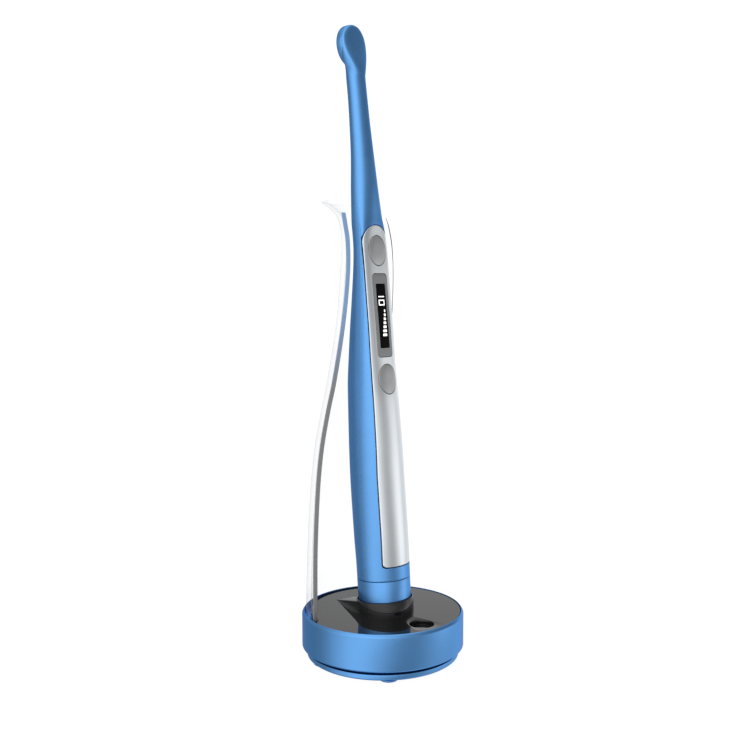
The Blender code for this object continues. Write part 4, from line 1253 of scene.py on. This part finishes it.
# ================================================================ floor
def floor_material():
    m = Surface("pale_floor", Base_Color=(0.93, 0.93, 0.93), Roughness=0.9,
                Specular_IOR_Level=0.1, Emission_Color=(1, 1, 1), Emission_Strength=0.62)
    m.set(Normal=m.bump(m.noise(300.0, 3.0), 0.05, 0.0001))
    seen = m.add("LightPath").outputs["Is Camera Ray"]
    # seen directly, most of the floor's shadow is lifted to white
    lifted = m.mix_shader(m.math("MULTIPLY", seen, 0.9), m.principled.outputs[0],
                          m.add("Emission").outputs[0])
    # from below the floor is not there, so that the underside can be seen
    below = m.math("MULTIPLY", m.add("NewGeometry").outputs["Backfacing"], seen)
    m.finish(m.mix_shader(below, lifted, m.add("BsdfTransparent").outputs[0]))
    return m.material


def make_floor():
    """A disc of rings, in metres, just under the feet."""
    bm = bmesh.new()
    centre = bm.verts.new((0, 0, 0))
    turns = [2 * pi * i / 64 for i in range(64)]
    loops = [[bm.verts.new((radius * cos(a), radius * sin(a), 0)) for a in turns]
             for radius in (0.15, 0.4, 1.2, 3.0)]
    for i in range(64):
        j = (i + 1) % 64
        bm.faces.new((centre, loops[0][i], loops[0][j]))
        for a, b in zip(loops, loops[1:]):
            bm.faces.new((a[i], b[i], b[j], a[j]))
    mesh = bpy.data.meshes.new("floor")
    bm.to_mesh(mesh)
    bm.free()
    floor = bpy.data.objects.new("floor", mesh)
    bpy.context.scene.collection.objects.link(floor)
    floor.visible_glossy = False
    floor.visible_transmission = False
    floor.location.z = -0.0001
    dress(floor, floor_material())


# ================================================================ studio light
# Brightness of the surroundings. Each key is a height in degrees above the horizon. Its row holds
# (degrees around, brightness), where 0 is towards the camera and positive to the camera's right.
STUDIO = {
    -19: [(-180, .55), (-140, .46), (-112, .31), (-92, .38), (-68, .76), (-44, 1.05), (-28, .98),
          (-12, .76), (6, .52), (20, .35), (40, .34), (62, .50), (84, .62), (114, .68),
          (138, .92), (180, .55)],
    -8: [(-180, .60), (-140, .44), (-105, .32), (-84, .38), (-66, .54), (-48, .84), (-30, 1.07),
         (-6, 1.16), (8, 1.05), (19, .80), (31, .48), (44, .36), (58, .44), (72, .82),
         (88, 1.25), (102, 1.18), (120, .70), (140, .78), (160, 1.0), (180, .60)],
    3: [(-180, .60), (-140, .42), (-105, .30), (-88, .42), (-74, .72), (-60, 1.0), (-36, 1.12),
        (-6, 1.25), (12, 1.10), (27, .92), (44, .62), (60, .45), (76, .42), (88, .62),
        (102, 1.0), (116, .66), (134, .92), (160, 1.0), (180, .60)],
    14: [(-180, .74), (-150, .54), (-125, .42), (-102, .36), (-84, .54), (-66, .84), (-42, 1.15),
         (-18, 1.20), (0, 1.08), (12, .84), (24, .58), (38, .40), (54, .31), (78, .27),
         (100, .25), (122, .33), (140, .52), (158, .66), (180, .74)],
}
PEAK = 1.5  # brightness at a ramp's full white
OVERHEAD, OVERHEAD_RANGE = 0.95, (0.62, 0.92)  # its brightness, and sines where it fades in
BACKDROP = 1.06  # brightness of the white seen directly


def studio_level(n, place, stops):
    """Brightness around one height, from its stops."""
    ramp = n.add("ValToRGB", Fac=place)
    ramp.color_ramp.interpolation = "LINEAR"
    elements = ramp.color_ramp.elements
    while len(elements) > 1:
        elements.remove(elements[-1])
    for i, (degrees, brightness) in enumerate(stops):
        position = (degrees + 180) / 360
        element = elements.new(position) if i else elements[0]
        element.position = position
        element.color = (*[brightness / PEAK] * 3, 1)
    return n.math("MULTIPLY", ramp.outputs[0], PEAK)


def faded(n, value, factor):
    return n.math("MULTIPLY", value, n.math("SUBTRACT", 1.0, factor))


def make_world():
    """The graded studio lights and is mirrored in the object. Direct views see plain white."""
    world = bpy.data.worlds.new("studio")
    world.use_nodes = True
    bpy.context.scene.world = world
    n = Nodes(world.node_tree)
    n.tree.nodes.clear()
    direction = n.add("TexCoord").outputs["Generated"]
    around = n.math("ARCTAN2", n.dot(direction, camera_right), n.dot(direction, to_camera))
    place = n.math("ADD", n.math("MULTIPLY", around, 1 / (2 * pi)), 0.5)
    height = n.dot(direction, (0, 0, 1))
    side = last = None
    for elevation, stops in STUDIO.items():
        level = studio_level(n, place, stops)
        sine = sin(radians(elevation))
        if side is None:
            side = level
        else:
            step = n.remap(height, 0.0, 1.0, (last, sine), smooth=True)
            side = n.math("ADD", faded(n, side, step), n.math("MULTIPLY", level, step))
        last = sine
    lift = n.remap(height, 0.0, 1.0, OVERHEAD_RANGE, smooth=True)
    total = n.math("ADD", faded(n, side, lift), n.math("MULTIPLY", lift, OVERHEAD))
    grey = n.add("CombineColor", Red=total, Green=total, Blue=total).outputs[0]
    studio = n.add("Background", Color=grey)
    white = n.add("Background", Color=(1, 1, 1), Strength=BACKDROP)
    path = n.add("LightPath").outputs
    bounces = n.math("ADD", path["Glossy Depth"], path["Diffuse Depth"])
    straight = n.math("LESS_THAN", bounces, 0.5)
    seen = n.math("MAXIMUM", path["Is Camera Ray"],
                  n.math("MULTIPLY", path["Is Transmission Ray"], straight))
    n.add("OutputWorld", Surface=n.mix_shader(seen, studio.outputs[0], white.outputs[0]))


def make_lamp_above():
    data = bpy.data.lights.new("soft_top", "AREA")
    data.shape = "DISK"
    data.size = 0.7
    data.energy = 3.2
    lamp = bpy.data.objects.new("soft_top", data)
    bpy.context.scene.collection.objects.link(lamp)
    lamp.location = (-0.25, -0.1, 0.95)
    aim = Vector((0, 0, 0.08)) - lamp.location
    lamp.rotation_euler = aim.to_track_quat("-Z", "Y").to_euler()
    lamp.visible_glossy = False


make_camera()
make_floor()
make_world()
make_lamp_above()

bpy.context.scene.view_settings.view_transform = "Standard"
bpy.context.scene.view_settings.look = "None"
